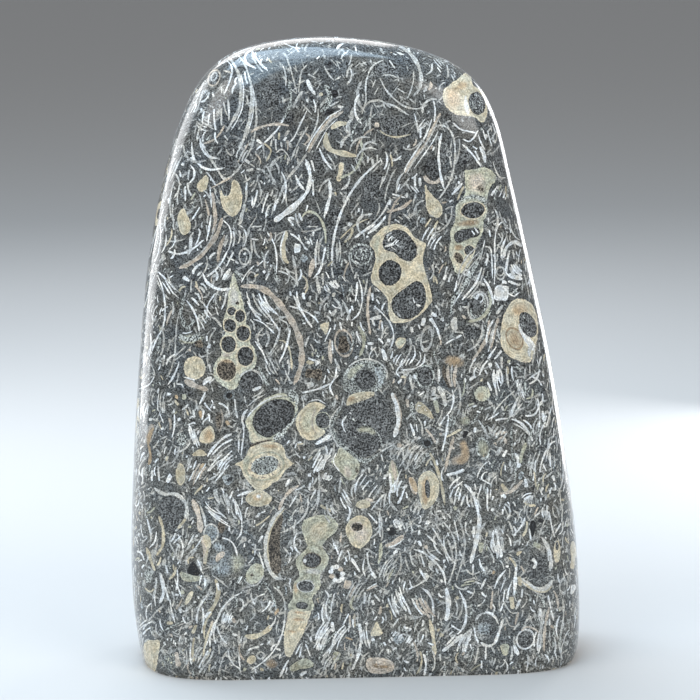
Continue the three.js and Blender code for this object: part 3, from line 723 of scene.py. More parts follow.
# Broken shell walls that show on the front, in tenths of a millimetre: a tone, and then each wall as
# its thickness and the x and z of the points that it runs through. A ring is its thickness, the x
# and z of its middle, its half width and its half height.
FRONT_WALLS = (
    # upper left
    ("pale", (5, -296, 1504, -274, 1480, -259, 1436, -248, 1390, -246, 1340, -256, 1286, -280, 1242),
     (5.5, -280, 1242, -300, 1219, -322, 1208, -344, 1240, -373, 1288),
     (8, -258, 1436, -256, 1390, -262, 1346, -274, 1306, -290, 1272)),
    ("white", (2.5, -253, 1426, -251, 1386, -257, 1344, -270, 1302)),
    ("pale", (8, -310, 1494, -289, 1460, -281, 1416, -287, 1370, -317, 1318)),
    ("white", (3, -281, 1456, -275, 1416, -281, 1366, -306, 1320),
     (4, -315, 1485, -303, 1472, -303, 1452, -310, 1430, -322, 1404),
     (3.5, -272, 1460, -270, 1444, -265, 1428)), ("pale", (4, -269, 1406, -266, 1393, -264, 1380)),
    ("sand", (4.5, -370, 1290, -346, 1300, -332, 1314, -320, 1334)), ("white", (9, -374, 1292, -368, 1278)),
    ("pale", (4, -322, 1388, -319, 1370, -312, 1354), (3.5, -324, 1422, -320, 1400),
     (3.5, -374, 1340, -345, 1324), (3.5, -370, 1348, -350, 1338),
     (3.5, -318, 1278, -310, 1266, -301, 1264, -300, 1280), (3.5, -324, 1314, -313, 1298)),
    ("sand", (4.5, -264, 1292, -280, 1266, -290, 1245)), ("white", (8, -422, 1246, -416, 1240),
     (5, -248, 1274, -220, 1298, -194, 1326, -178, 1354)),
    ("grey", (7, -182, 1346, -168, 1374, -164, 1406, -170, 1440)),
    ("pale", (4, -176, 1500, -165, 1466, -154, 1425, -150, 1410), (3.5, -184, 1476, -176, 1450, -176, 1422),
     (4, -124, 1474, -138, 1460, -143, 1434, -146, 1408)),
    ("cream", (4.5, -230, 1292, -212, 1274, -223, 1248)), ("pale", (3.5, -249, 1274, -246, 1260),
     (5, -248, 1232, -230, 1226, -228, 1217), (3.5, -273, 1219, -270, 1204),
     (5, -274, 1190, -270, 1174, -274, 1150), (3.5, -200, 1268, -186, 1276, -172, 1262, -166, 1246)),
    # upper middle
    ("white", (9.5, -126, 1440, -118, 1420, -106, 1403)),
    ("grey", (12, -84, 1426, -72, 1402, -79, 1378, -94, 1364)), ("cream", (11, -94, 1414, -92, 1395)),
    ("pale", (3.5, -86, 1472, -74, 1450, -62, 1436), (3, -62, 1436, -45, 1447), (3, -62, 1436, -64, 1422),
     (3.5, -124, 1452, -104, 1442), (3.5, -110, 1430, -90, 1439), (3.5, -74, 1375, -50, 1389)),
    ("white", (8.5, -54, 1375, -40, 1374)), ("pale", (4, -20, 1500, -24, 1480, -30, 1470),
     (4.5, -26, 1468, -20, 1454, -24, 1436, -33, 1427), (3, -34, 1503, -22, 1510)),
    ("white", (4.5, -12, 1516, -9, 1503)),
    ("sand", (8.5, -40, 1365, -70, 1347, -94, 1320, -112, 1293, -125, 1268)),
    ("white", (3.5, -42, 1370, -74, 1352, -99, 1324, -118, 1295, -130, 1270)),
    ("pale", (3.5, -46, 1362, -70, 1344, -92, 1318, -110, 1290, -122, 1266)),
    ("white", (2.5, -54, 1348, -78, 1324, -96, 1294, -106, 1274)),
    ("pale", (6.5, -126, 1269, -144, 1242, -172, 1208, -188, 1176, -200, 1146),
     (3.5, -100, 1372, -101, 1345, -110, 1318, -126, 1290)),
    ("white", (4, -126, 1368, -142, 1335, -156, 1306, -168, 1292)),
    ("pale", (4, -122, 1332, -146, 1294, -166, 1248), (3.5, -136, 1382, -114, 1356),
     (6, -168, 1322, -180, 1306), (4, -146, 1284, -156, 1254)),
    ("sand", (4.5, -132, 1315, -120, 1302, -134, 1286)), ("white", (5, -98, 1279, -86, 1252, -67, 1227)),
    ("pale", (3.5, -80, 1266, -64, 1242, -60, 1228)), ("cream", (12.5, -45, 1245, -48, 1220, -54, 1200)),
    ("pale", (3, -14, 1256, -6, 1236, 0, 1220)), ("white", (8, -75, 1204, -72, 1174, -79, 1142, -88, 1113),
     (9.5, -130, 1253, -120, 1218, -125, 1182, -144, 1152), (5, -117, 1250, -109, 1224),
     (5, -114, 1206, -112, 1166)), ("pale", (4, -138, 1218, -152, 1198), (4, -146, 1192, -168, 1172)),
    ("white", (6, 52, 1253, 10, 1216, -19, 1180, -40, 1142, -56, 1100, -67, 1050, -70, 992)),
    ("pale", (4, 42, 1236, 28, 1220), (4, 58, 1485, 32, 1473, 18, 1450, 12, 1420, 13, 1390, 3, 1357),
     (3.5, 6, 1410, 5, 1386), (4, 45, 1443, 60, 1415, 85, 1388, 110, 1373, 138, 1370, 162, 1380),
     (3.5, 50, 1448, 72, 1449, 90, 1440), (4.5, 52, 1383, 80, 1376, 115, 1354)),
    ("cream", (4, 44, 1320, 60, 1309, 86, 1303, 120, 1310)), ("pale", (4, 28, 1380, 22, 1340, 24, 1307)),
    ("sand", (12, 39, 1340, 38, 1322)), ("pale", (3, 68, 1484, 82, 1464), (3, 36, 1438, 26, 1416),
     (3, 44, 1423, 32, 1402), (9, 90, 1518, 120, 1496, 138, 1466, 144, 1436, 136, 1410, 124, 1400),
     (3.5, 126, 1458, 124, 1428, 114, 1400, 108, 1392), (5, 154, 1449, 168, 1458, 169, 1476),
     (3.5, 86, 1418, 106, 1406), (3.5, 116, 1394, 132, 1380)),
    ("white", (4, 172, 1390, 177, 1364, 174, 1336)),
    ("sand", (8, 190, 1360, 172, 1326, 156, 1290, 132, 1260, 114, 1236, 103, 1216)),
    ("white", (4, 170, 1350, 158, 1314, 134, 1274, 110, 1238, 102, 1218)),
    ("pale", (4, 186, 1350, 170, 1312, 146, 1272, 122, 1240, 108, 1214)),
    ("white", (3, 186, 1320, 170, 1290, 146, 1256, 126, 1228)),
    ("pale", (4, 102, 1276, 120, 1274, 136, 1284, 148, 1298)),
    ("white", (4, 126, 1360, 133, 1338, 136, 1310), (4, 142, 1328, 142, 1300), (3.5, 154, 1347, 135, 1322),
     (3.5, 158, 1332, 134, 1318)), ("pale", (3, 94, 1326, 122, 1337)), ("white", (7, 128, 1210, 129, 1186),
     (6, 140, 1208, 141, 1186), (3.5, 118, 1189, 134, 1170), (3.5, 126, 1188, 139, 1172)),
    ("pale", (3.5, 117, 1208, 86, 1172)), ("white", (5, 94, 1194, 86, 1175)),
    ("pale", (5, 103, 1220, 89, 1202, 84, 1170), (4, 72, 1270, 70, 1255), (3.5, 58, 1270, 66, 1253),
     (3.5, 72, 1252, 98, 1251), (3.5, 88, 1234, 74, 1214, 62, 1182, 56, 1150),
     (3.5, 69, 1244, 60, 1214, 48, 1190), (3.5, 54, 1212, 44, 1178)), ("white", (4.5, 74, 1169, 106, 1160)),
    ("pale", (3.5, 74, 1162, 94, 1158)),
    # upper right
    ("white", (6, 192, 1312, 185, 1266, 189, 1216, 199, 1177)),
    ("pale", (5, 169, 1323, 194, 1330, 216, 1312, 224, 1275, 222, 1235, 210, 1194, 184, 1154),
     (4, 234, 1299, 234, 1270, 225, 1236), (4, 211, 1258, 216, 1230)), ("ring", (3, 210, 1262, 6, 7)),
    ("white", (4, 217, 1339, 237, 1321, 277, 1311), (4, 241, 1299, 256, 1292, 268, 1299, 279, 1318),
     (5, 240, 1286, 264, 1263, 287, 1231), (8.5, 283, 1280, 293, 1260, 296, 1240),
     (4, 265, 1281, 277, 1273), (5, 271, 1270, 283, 1246)), ("pale", (4, 299, 1260, 317, 1267, 333, 1286),
     (4, 299, 1312, 316, 1332), (3, 308, 1293, 323, 1318), (4, 314, 1244, 322, 1220, 332, 1206, 346, 1206)),
    ("black", (12, 242, 1245, 252, 1240)), ("pale", (4, 204, 1474, 208, 1450, 205, 1442),
     (3.5, 187, 1410, 189, 1424, 202, 1432), (5, 176, 1420, 180, 1414)),
    ("white", (6.5, 242, 1194, 215, 1165)), ("cream", (5, 244, 1186, 229, 1153)),
    ("white", (3.5, 336, 1173, 329, 1160), (3.5, 346, 1176, 338, 1156)),
    ("blue", (16, 150, 1112, 146, 1097)), ("pale", (3.5, 141, 1119, 134, 1104, 135, 1090)),
    ("cream", (4.5, 168, 1112, 152, 1089), (5, 184, 1106, 170, 1080, 166, 1068)),
    ("pale", (6, 189, 1092, 183, 1082), (4.5, 201, 1122, 204, 1098), (3.5, 180, 1072, 168, 1058)),
    ("white", (4, 296, 1062, 284, 1016, 258, 966, 234, 928, 218, 900)),
    ("grey", (9, 290, 1040, 274, 1000, 244, 948, 220, 916, 214, 878)),
    ("white", (6, 289, 996, 274, 956, 241, 916)), ("pale", (3.5, 295, 994, 286, 962, 266, 932, 250, 918)),
    ("white", (3.5, 346, 1107, 326, 1090, 319, 1054, 320, 996, 318, 950),
     (3.5, 295, 1042, 308, 1039, 312, 1014, 314, 964), (4, 303, 1014, 298, 996),
     (9, 339, 1014, 346, 1038, 366, 1053, 384, 1042), (6, 355, 1034, 348, 1000, 346, 972),
     (5, 347, 1066, 337, 1040, 334, 1014)), ("pale", (3.5, 362, 1036, 366, 1010)),
    ("white", (6, 362, 1000, 384, 970), (4.5, 354, 994, 368, 976), (10, 350, 975, 386, 964),
     (5.5, 350, 960, 380, 949)), ("ring", (3.5, 333, 979, 11, 15)), ("white", (4, 356, 926, 376, 944),
     (4, 364, 922, 380, 934)), ("pale", (7, 339, 903, 323, 880)),
    # upper left below the shoulder
    ("sand", (9, -351, 1178, -346, 1140, -345, 1105, -351, 1076)), ("white", (3.5, -356, 1190, -353, 1140)),
    ("sand", (10, -328, 1116, -342, 1076, -368, 1040, -400, 1012, -432, 998)),
    ("pale", (3.5, -344, 1100, -360, 1058, -390, 1024, -420, 1007)),
    ("white", (4, -328, 1112, -312, 1096, -307, 1070, -314, 1040),
     (4.5, -314, 1042, -334, 1006, -354, 986, -370, 975)),
    ("sand", (9, -322, 1076, -334, 1046, -340, 1010)), ("pale", (3.5, -316, 1078, -326, 1050)),
    ("white", (5.5, -460, 1040, -430, 1032, -398, 1044, -371, 1066)),
    ("pale", (3.5, -468, 1063, -440, 1062, -416, 1067)), ("white", (4, -380, 1143, -399, 1112)),
    ("pale", (3.5, -366, 1100, -362, 1080), (3.5, -366, 1029, -366, 1000, -390, 965)),
    ("white", (9.5, -422, 979, -407, 967), (9, -309, 997, -329, 968), (4.5, -302, 1036, -320, 1000)),
    ("pale", (3.5, -402, 972, -404, 940),
     (4, -414, 956, -420, 926, -435, 880, -440, 840, -443, 800, -452, 760, -466, 732)),
    ("cream", (5, -432, 942, -424, 954, -413, 954)),
    ("white", (4, -482, 984, -469, 944, -465, 900, -470, 862, -489, 824, -500, 794),
     (4, -482, 992, -456, 966, -440, 946)), ("pale", (3.5, -464, 973, -448, 944)),
    ("grey", (9, -420, 930, -428, 892, -422, 868, -413, 856, -401, 866, -398, 880),
     (13, -434, 840, -416, 829, -394, 833, -380, 846)), ("white", (3.5, -426, 845, -414, 844, -400, 849)),
    ("brown", (16, -396, 816, -376, 820)), ("pale", (4.5, -416, 814, -449, 785),
     (3.5, -422, 796, -446, 778)), ("white", (6, -396, 899, -389, 899),
     (3.5, -394, 888, -378, 864, -372, 850)), ("pale", (3.5, -386, 890, -374, 872)),
    ("white", (4, -344, 940, -364, 910, -367, 876)), ("pale", (3.5, -334, 955, -352, 916)),
    ("white", (4.5, -320, 944, -324, 918, -333, 898), (3.5, -346, 906, -339, 884)),
    ("pale", (4, -344, 854, -358, 836, -366, 800, -365, 762), (3.5, -387, 796, -382, 788, -372, 790)),
    ("white", (5, -367, 840, -367, 822)), ("pale", (9, -273, 1150, -281, 1126, -287, 1100)),
    ("white", (3.5, -292, 1102, -278, 1092), (13.5, -136, 1164, -164, 1137, -206, 1107),
     (7, -170, 1116, -157, 1112)), ("ring", (3.5, -276, 1024, 13, 19)),
    ("white", (7, -277, 1034, -274, 1028)), ("ring", (3.5, -260, 975, 10, 12.5)),
    ("white", (3.5, -254, 1003, -272, 984, -285, 962), (3.5, -228, 1018, -248, 1000),
     (3.5, -218, 1014, -230, 1000)), ("pale", (4.5, -261, 1070, -259, 1036, -264, 1002),
     (4.5, -254, 1064, -250, 1034, -238, 1020), (3.5, -246, 1120, -268, 1086),
     (3.5, -262, 1094, -232, 1096)), ("white", (4, -224, 1084, -206, 1054, -200, 1018, -202, 982),
     (4, -218, 1176, -228, 1150, -234, 1126)), ("pale", (4, -196, 1180, -204, 1150, -212, 1120)),
    ("white", (3.5, -198, 990, -176, 982, -160, 972)), ("pale", (4, -188, 996, -150, 980)),
    ("sand", (13.5, -286, 954, -252, 953, -222, 940, -196, 914, -170, 878, -150, 836, -142, 796, -146, 756,
      -162, 716)), ("white", (4, -273, 942, -262, 906, -248, 878), (4.5, -239, 918, -218, 890),
     (4.5, -230, 916, -210, 894), (4.5, -222, 887, -196, 849), (3.5, -258, 876, -234, 866, -206, 840),
     (3.5, -228, 867, -210, 861), (4.5, -253, 824, -236, 798, -223, 766)),
    ("pale", (3.5, -228, 796, -210, 764), (6, -226, 848, -220, 828, -228, 808)),
    ("cream", (4.5, -196, 824, -184, 822, -172, 804, -167, 776, -166, 750)),
    ("pale", (4, -174, 780, -173, 750, -186, 717), (3.5, -194, 874, -177, 864, -173, 838, -178, 826)),
    ("white", (4, -204, 863, -194, 843)),
    # middle
    ("cream", (11, -176, 1083, -185, 1050, -183, 1022, -172, 1007)),
    ("white", (4, -179, 1086, -190, 1050, -189, 1020)), ("body white", (20, -160, 1043, -142, 1042)),
    ("white", (4.5, -168, 1078, -150, 1066, -136, 1050)), ("pale", (4, -92, 1091, -112, 1084, -142, 1082),
     (3.5, -100, 1094, -130, 1094)),
    ("moss", (6, -143, 1110, -130, 1127, -110, 1126, -94, 1109, -85, 1080, -84, 1050)),
    ("white", (5.5, -84, 1048, -90, 1018, -98, 990, -116, 969)), ("infill", (22, -128, 1106, -102, 1108)),
    ("white", (5, -103, 1064, -108, 1032, -107, 994)), ("sand", (10.5, -113, 1018, -118, 994, -123, 973)),
    ("blue", (18, -130, 1026, -142, 1010)), ("cream", (3.5, 20, 1112, -15, 1096, -51, 1063)),
    ("pale", (3, -51, 1062, -49, 1030, -52, 1008)), ("white", (4, 69, 1160, 56, 1130, 32, 1102, 12, 1084)),
    ("pale", (4, 42, 1150, 44, 1134, 36, 1116)), ("white", (7, 34, 1099, 8, 1083, -15, 1066),
     (7, 60, 1118, 42, 1096, 14, 1074)), ("pale", (3.5, 6, 1080, 9, 1060)),
    ("sand", (7.5, 123, 1156, 96, 1136, 60, 1126)), ("white", (6, 70, 1158, 68, 1142),
     (4, -7, 972, 1, 944, 2, 914, -6, 886, -23, 870), (5, -9, 962, -11, 936, -14, 914)),
    ("pale", (3.5, -23, 956, -21, 934, -14, 929), (4, 15, 970, 10, 940, 6, 926)),
    ("white", (6, -25, 898, -35, 868)), ("pale", (9, -57, 898, -72, 880)),
    ("white", (5, -58, 903, -47, 899), (5, -66, 966, -57, 954, -58, 944), (5, -80, 962, -62, 948)),
    ("pale", (3.5, -88, 952, -72, 934)), ("white", (3.5, -46, 976, -36, 962)),
    ("blue", (3.5, -48, 958, -42, 934, -46, 920)), ("black", (10, -48, 934, -44, 920)),
    ("white", (3.5, -16, 1012, -4, 1004)), ("sand", (7, 23, 952, 16, 916, 16, 876, 22, 834)),
    ("white", (8.5, 20, 872, 49, 878), (6, 13, 814, 30, 814), (4.5, 48, 870, 52, 840),
     (4.5, 36, 920, 44, 908), (3.5, 34, 946, 44, 938), (4, 30, 904, 52, 884, 71, 858, 77, 826, 67, 797),
     (8, 63, 826, 66, 816)), ("body moss", (16, 86, 810, 104, 824)), ("white", (9, 118, 855, 123, 838),
     (11, 151, 874, 145, 853), (9, 164, 874, 180, 850), (5, 180, 852, 189, 820),
     (4, -173, 906, -140, 896, -114, 880, -100, 862), (5, -153, 942, -151, 920, -145, 903)),
    ("body pale", (12, -132, 910, -118, 908)), ("cream", (12, -98, 852, -80, 862)),
    ("white", (3.5, -72, 854, -88, 818)), ("sand", (9, -74, 826, -75, 796, -72, 766)),
    ("white", (3.5, -70, 824, -68, 790)), ("body brown", (24, -44, 834, -42, 792)),
    ("moss", (9, -9, 860, 4, 836, 6, 810, -4, 784)), ("grey", (5, -20, 850, -20, 816, -30, 790)),
    ("white", (4, 127, 805, 128, 784, 114, 763), (3.5, 139, 794, 142, 776, 130, 758),
     (4, 152, 789, 148, 766, 124, 752, 92, 750), (3.5, 110, 776, 88, 754, 83, 746, 92, 732),
     (6, -42, 764, -34, 768)), ("cream", (8, 94, 734, 108, 732)), ("blue", (14, 36, 750, 48, 734)),
    ("white", (4.5, -69, 723, -100, 708, -146, 697),
     (4.5, -60, 760, -62, 736, -75, 714, -72, 700, -66, 688)), ("brown", (26, -134, 746, -94, 740)),
    ("pale", (15, -132, 714, -114, 720), (4, -144, 692, -138, 672, -140, 660)),
    ("white", (9.5, -72, 596, -112, 573), (4, -142, 580, -156, 576, -160, 562)),
    ("pale", (4, -98, 564, -118, 534)), ("white", (9, -84, 554, -90, 532, -109, 507),
     (8, -130, 498, -119, 502), (10, -72, 500, -83, 484), (3.5, -60, 554, -68, 532, -52, 506),
     (4, -156, 452, -176, 420)), ("pale", (5, -129, 452, -130, 424, -140, 399, -170, 373, -198, 360)),
    ("white", (4, -46, 465, -30, 438)), ("cream", (8, -101, 427, -74, 411)),
    ("white", (5, -35, 427, -28, 408, -38, 386), (3.5, 13, 500, -6, 472)), ("sand", (6, 6, 442, 28, 434)),
    ("white", (5, 14, 406, 38, 379), (5, 43, 410, 42, 370, 44, 346)),
    # right of the middle
    ("sand", (9, 73, 532, 79, 500, 86, 460)), ("white", (6, 68, 504, 69, 476, 73, 452),
     (5, 80, 486, 78, 452), (9, 109, 474, 97, 460), (6, 103, 464, 92, 436, 84, 426)),
    ("pale", (6, 61, 446, 72, 424, 86, 409)), ("white", (9, 56, 498, 54, 484)),
    ("rust", (11, 116, 490, 125, 472, 132, 454)), ("pale", (4, 126, 570, 104, 536, 88, 514),
     (5, 136, 572, 118, 540, 104, 504)), ("white", (3.5, 146, 568, 126, 530)),
    ("sand", (4, 119, 566, 108, 550)), ("pale", (4, 99, 564, 100, 530)), ("sand", (11, 84, 566, 98, 572)),
    ("black", (15, 156, 580, 158, 566)), ("white", (6, 116, 622, 123, 604, 126, 589),
     (5, 125, 589, 136, 584, 144, 589)), ("pale", (5, 132, 638, 144, 618, 146, 590),
     (4.5, 123, 650, 107, 629)), ("sand", (9, 108, 682, 112, 658)),
    ("grey", (8, 122, 674, 120, 648, 134, 628)), ("pale", (10, 174, 710, 172, 684),
     (11, 184, 710, 196, 686, 202, 660)), ("moss", (10, 176, 676, 184, 644)),
    ("sand", (6, 153, 608, 168, 590, 180, 570)), ("white", (4, 203, 640, 185, 612)),
    ("pale", (6, 184, 608, 196, 602)), ("black", (4, 264, 678, 278, 666)),
    ("white", (9.5, 275, 735, 258, 722)), ("pale", (3.5, 256, 702, 284, 720)),
    ("white", (5, 302, 720, 312, 696), (6, 320, 740, 320, 714, 326, 683),
     (5, 319, 768, 334, 744, 338, 718, 332, 706)), ("pale", (3.5, 370, 698, 338, 670, 318, 644, 310, 620)),
    ("white", (8.5, 309, 768, 308, 752)), ("pale", (5, 348, 754, 350, 726, 354, 702)),
    ("grey", (5, 359, 754, 376, 751, 390, 730, 394, 700, 392, 674)),
    ("white", (5, 376, 724, 374, 710, 382, 694), (5, 379, 714, 386, 692, 392, 676),
     (7, 378, 683, 366, 658, 357, 630), (4, 388, 668, 373, 649, 360, 631)),
    ("pale", (4, 396, 658, 378, 648, 362, 630)), ("white", (4.5, 319, 625, 338, 629, 359, 630),
     (6, 358, 629, 380, 620, 396, 604, 407, 586, 412, 573), (5, 388, 626, 404, 614, 412, 600)),
    ("pale", (4, 364, 618, 386, 606, 402, 590)), ("grey", (6, 361, 614, 360, 576, 364, 540, 372, 512)),
    ("white", (9, 370, 546, 378, 526, 377, 508)), ("moss", (9, 396, 570, 386, 544, 382, 520)),
    ("sand", (7, 316, 588, 332, 596, 352, 594)), ("pale", (5, 329, 614, 314, 589)),
    ("sand", (7, 326, 576, 340, 584, 349, 568)), ("pale", (9, 336, 562, 326, 538)),
    ("white", (8, 350, 554, 339, 536)), ("sand", (10, 318, 566, 326, 570)),
    ("pale", (5, 280, 628, 294, 606, 304, 584)), ("white", (7, 273, 612, 272, 594)),
    ("black", (16, 244, 596, 254, 590)), ("white", (8, 202, 494, 226, 500, 248, 507)),
    ("cream", (7, 163, 552, 182, 508, 193, 466, 200, 420)),
    ("white", (8, 247, 473, 266, 450, 277, 420, 283, 382), (5, 210, 460, 218, 474, 238, 490),
     (4, 218, 460, 244, 480), (4.5, 240, 468, 233, 432), (4, 226, 446, 222, 420),
     (5, 303, 464, 302, 420, 306, 404), (8, 312, 412, 319, 406), (3.5, 282, 486, 312, 470)),
    ("cream", (10, 336, 472, 350, 452)), ("sand", (8, 332, 448, 354, 450, 374, 464, 389, 482)),
    ("white", (6, 334, 440, 344, 442, 346, 434), (8.5, 394, 484, 398, 460)),
    ("blue", (16, 378, 494, 390, 488)), ("white", (8, 414, 442, 400, 422)),
    ("cream", (8, 390, 430, 404, 418, 420, 418)), ("black", (8, 372, 420, 376, 418)),
    ("white", (5, 419, 528, 416, 500, 413, 476)), ("pale", (4.5, 406, 516, 409, 488)),
    ("white", (4.5, 446, 554, 434, 524, 429, 496)), ("pale", (4, 430, 550, 420, 520)),
    ("white", (4, 428, 654, 428, 620, 424, 580), (5, 435, 648, 438, 618)), ("ring", (3.5, 446, 630, 7, 15)),
    ("white", (6, 434, 608, 444, 611), (4, 452, 584, 448, 550, 444, 524), (4, 468, 574, 454, 566, 449, 548),
     (3.5, 463, 606, 462, 580), (5, 453, 546, 456, 510)), ("pale", (4, 464, 540, 466, 510)),
    ("white", (8, 459, 492, 466, 474), (5, 463, 474, 469, 460, 464, 452)),
    ("pale", (3.5, 464, 420, 474, 406, 476, 390), (3.5, 460, 416, 464, 394, 473, 386)),
    ("white", (4.5, 451, 404, 458, 370, 466, 338), (4, 482, 374, 466, 347), (3.5, 442, 406, 450, 380),
     (4, 408, 730, 424, 722, 434, 706), (3.5, 432, 780, 424, 750)), ("pale", (4, 414, 786, 410, 756),
     (13, 226, 876, 221, 860, 226, 842)), ("white", (5, 199, 810, 220, 822, 242, 832)),
    ("pale", (3.5, 220, 840, 244, 836, 248, 822)),
    ("moss", (8, 304, 942, 310, 914, 302, 888, 282, 870, 254, 864)), ("infill", (30, 270, 920, 274, 892)),
    ("white", (7, 283, 932, 273, 916)), ("pale", (6, 240, 899, 260, 898)),
    ("sand", (8, 306, 870, 304, 834, 288, 802, 266, 770)),
    ("pale", (6, 290, 862, 288, 830, 274, 806, 253, 793)), ("infill", (34, 264, 854, 266, 820)),
    ("sand", (8, 328, 872, 318, 838, 310, 798)), ("white", (3.5, 322, 860, 312, 820, 304, 790)),
    ("pale", (4, 174, 784, 184, 756, 182, 732)), ("white", (5, 186, 752, 186, 720)),
    # left side
    ("sand", (12, -422, 732, -400, 720, -366, 708)), ("white", (4, -424, 740, -396, 732),
     (4.5, -371, 704, -387, 673), (9.5, -356, 740, -378, 721), (4, -444, 724, -428, 722, -424, 714)),
    ("infill", (26, -424, 708, -410, 690)), ("moss", (11, -428, 692, -416, 692)),
    ("black", (10, -320, 696, -310, 696)), ("pale", (9.5, -471, 684, -472, 654)),
    ("white", (3.5, -482, 656, -472, 630), (4, -447, 666, -446, 626, -453, 592),
     (3.5, -492, 744, -504, 724, -530, 712)), ("rust", (7, -386, 660, -382, 640)),
    ("white", (5, -376, 663, -381, 634), (6, -356, 668, -348, 664)),
    ("sand", (3.5, -336, 664, -331, 634, -341, 604)), ("rust", (8, -324, 634, -316, 622)),
    ("white", (5, -303, 686, -300, 660, -296, 638), (4, -283, 632, -282, 600, -286, 570, -289, 548),
     (4.5, -410, 624, -402, 598, -399, 576), (5, -401, 616, -396, 596, -387, 574),
     (6, -308, 603, -330, 592, -354, 570, -370, 546), (4.5, -306, 590, -334, 576, -358, 552)),
    ("pale", (3.5, -310, 577, -336, 561, -350, 544)), ("white", (4, -332, 555, -352, 536, -370, 510),
     (3.5, -318, 548, -342, 536, -366, 513), (4, -316, 529, -336, 506, -353, 485)),
    ("pale", (4.5, -337, 523, -346, 504, -370, 490)), ("rust", (8, -376, 534, -389, 512)),
    ("white", (4, -372, 532, -392, 500, -402, 482), (3.5, -394, 542, -404, 516), (7, -411, 528, -407, 522),
     (4, -399, 516, -414, 489)), ("cream", (5, -380, 480, -402, 456)), ("white", (12, -456, 508, -466, 486),
     (4, -486, 528, -484, 490)), ("blue", (18, -326, 504, -320, 478)),
    ("black", (10, -323, 494, -314, 490)), ("white", (6.5, -264, 464, -300, 452)),
    ("pale", (4, -349, 472, -346, 450, -339, 432)), ("white", (3.5, -336, 474, -324, 444, -319, 408),
     (3.5, -330, 470, -316, 436), (4.5, -308, 466, -321, 436), (3.5, -310, 450, -302, 420, -301, 406),
     (3.5, -306, 446, -292, 414, -288, 380, -292, 358, -304, 344), (4, -376, 428, -348, 404, -320, 384),
     (3.5, -354, 426, -324, 397)),
    # lower left
    ("white", (4.5, -514, 402, -507, 370, -505, 344), (4, -492, 370, -496, 346, -510, 330)),
    ("cream", (7.5, -486, 410, -476, 370, -478, 336, -493, 310), (8, -516, 332, -508, 304, -497, 274)),
    ("white", (4.5, -540, 324, -528, 316, -522, 300)), ("cream", (3.5, -522, 234, -509, 224, -496, 234)),
    ("grey", (16, -512, 278, -514, 244)), ("white", (8.5, -485, 272, -479, 244, -478, 216, -487, 195),
     (6, -474, 236, -464, 200), (4.5, -462, 204, -458, 174, -450, 146)),
    ("pale", (4.5, -480, 188, -498, 172, -516, 150)), ("white", (4, -444, 280, -443, 250, -448, 224),
     (4, -441, 362, -430, 336, -432, 310, -444, 288), (6, -444, 340, -436, 330)),
    ("cream", (8, -422, 400, -442, 374)), ("white", (4.5, -402, 362, -418, 334),
     (3.5, -382, 354, -400, 328), (4.5, -396, 300, -388, 284, -386, 270), (3.5, -385, 264, -392, 236)),
    ("cream", (14, -376, 360, -370, 342, -368, 326), (7, -369, 328, -375, 306, -377, 286),
     (10, -407, 224, -416, 208, -426, 190)), ("pale", (3.5, -440, 180, -426, 174, -416, 180)),
    ("moss", (10, -438, 220, -426, 222)), ("body cream", (9.5, -353, 252, -346, 222, -355, 190, -374, 164)),
    ("white", (6, -349, 244, -344, 222), (9, -362, 174, -380, 157)),
    ("pale", (4, -362, 262, -340, 246, -320, 228)),
    ("white", (5, -286, 220, -314, 204, -338, 178, -351, 148, -365, 116, -381, 82),
     (4.5, -354, 144, -358, 114, -353, 92)), ("sand", (6, -360, 152, -366, 128)),
    ("white", (4.5, -384, 186, -382, 150, -387, 118)), ("pale", (4.5, -409, 184, -409, 147)),
    ("grey", (4.5, -414, 160, -450, 142, -490, 123)), ("cream", (8, -399, 143, -410, 118)),
    ("pale", (3.5, -434, 140, -444, 116)), ("white", (4.5, -413, 100, -415, 70, -412, 42)),
    ("cream", (6, -405, 110, -409, 80, -406, 50)), ("pale", (3.5, -394, 120, -392, 96, -388, 90)),
    ("sand", (12, -449, 76, -443, 40)), ("pale", (4, -424, 80, -424, 50, -436, 30)),
    ("white", (6, -398, 62, -388, 60)), ("cream", (6, -366, 84, -374, 64, -394, 42)),
    ("pale", (4.5, -359, 78, -368, 56, -390, 30, -396, 16), (4, -314, 90, -334, 64, -343, 40, -348, 16)),
    ("white", (4, -289, 114, -297, 80, -297, 46, -293, 16)),
    ("body cream", (11.5, -284, 112, -268, 109, -248, 113, -230, 124, -218, 136)),
    ("white", (4, -226, 128, -212, 144, -208, 160),
     (4.5, -186, 160, -194, 114, -214, 74, -244, 44, -270, 28)),
    ("pale", (5, -216, 232, -196, 214, -186, 184, -187, 150)),
    ("grey", (4.5, -240, 250, -220, 216, -209, 184, -207, 154)), ("blue", (9, -218, 194, -212, 180)),
    ("white", (4, -267, 191, -253, 206, -232, 214), (4, -248, 318, -242, 296, -235, 274)),
    ("pale", (3.5, -270, 232, -250, 238, -236, 260)), ("ring", (3, -284, 347, 6, 6)),
    ("white", (3.5, -256, 336, -258, 306), (4, -337, 352, -316, 344, -304, 326, -300, 304),
     (5, -322, 168, -332, 142), (4.5, -332, 170, -339, 142)), ("black", (9, -312, 249, -308, 240)),
    ("white", (6, -318, 379, -319, 366)),
    # lower middle
    ("white", (4.5, -149, 90, -162, 62), (4.5, -147, 84, -152, 56),
     (5, -92, 222, -80, 204, -77, 176, -79, 150), (5, -66, 214, -74, 184, -80, 148, -92, 118, -120, 76),
     (6, -94, 124, -104, 102, -106, 70)), ("pale", (7, -93, 194, -91, 154)),
    ("white", (8, -73, 144, -70, 116), (4.5, -82, 114, -96, 80), (4.5, -32, 162, -48, 132),
     (4.5, -38, 132, -60, 100, -94, 60), (5, -50, 116, -72, 82, -98, 56), (4, -72, 56, -90, 30)),
    ("pale", (5, -73, 46, -96, 24)), ("white", (4.5, -30, 144, -34, 114)),
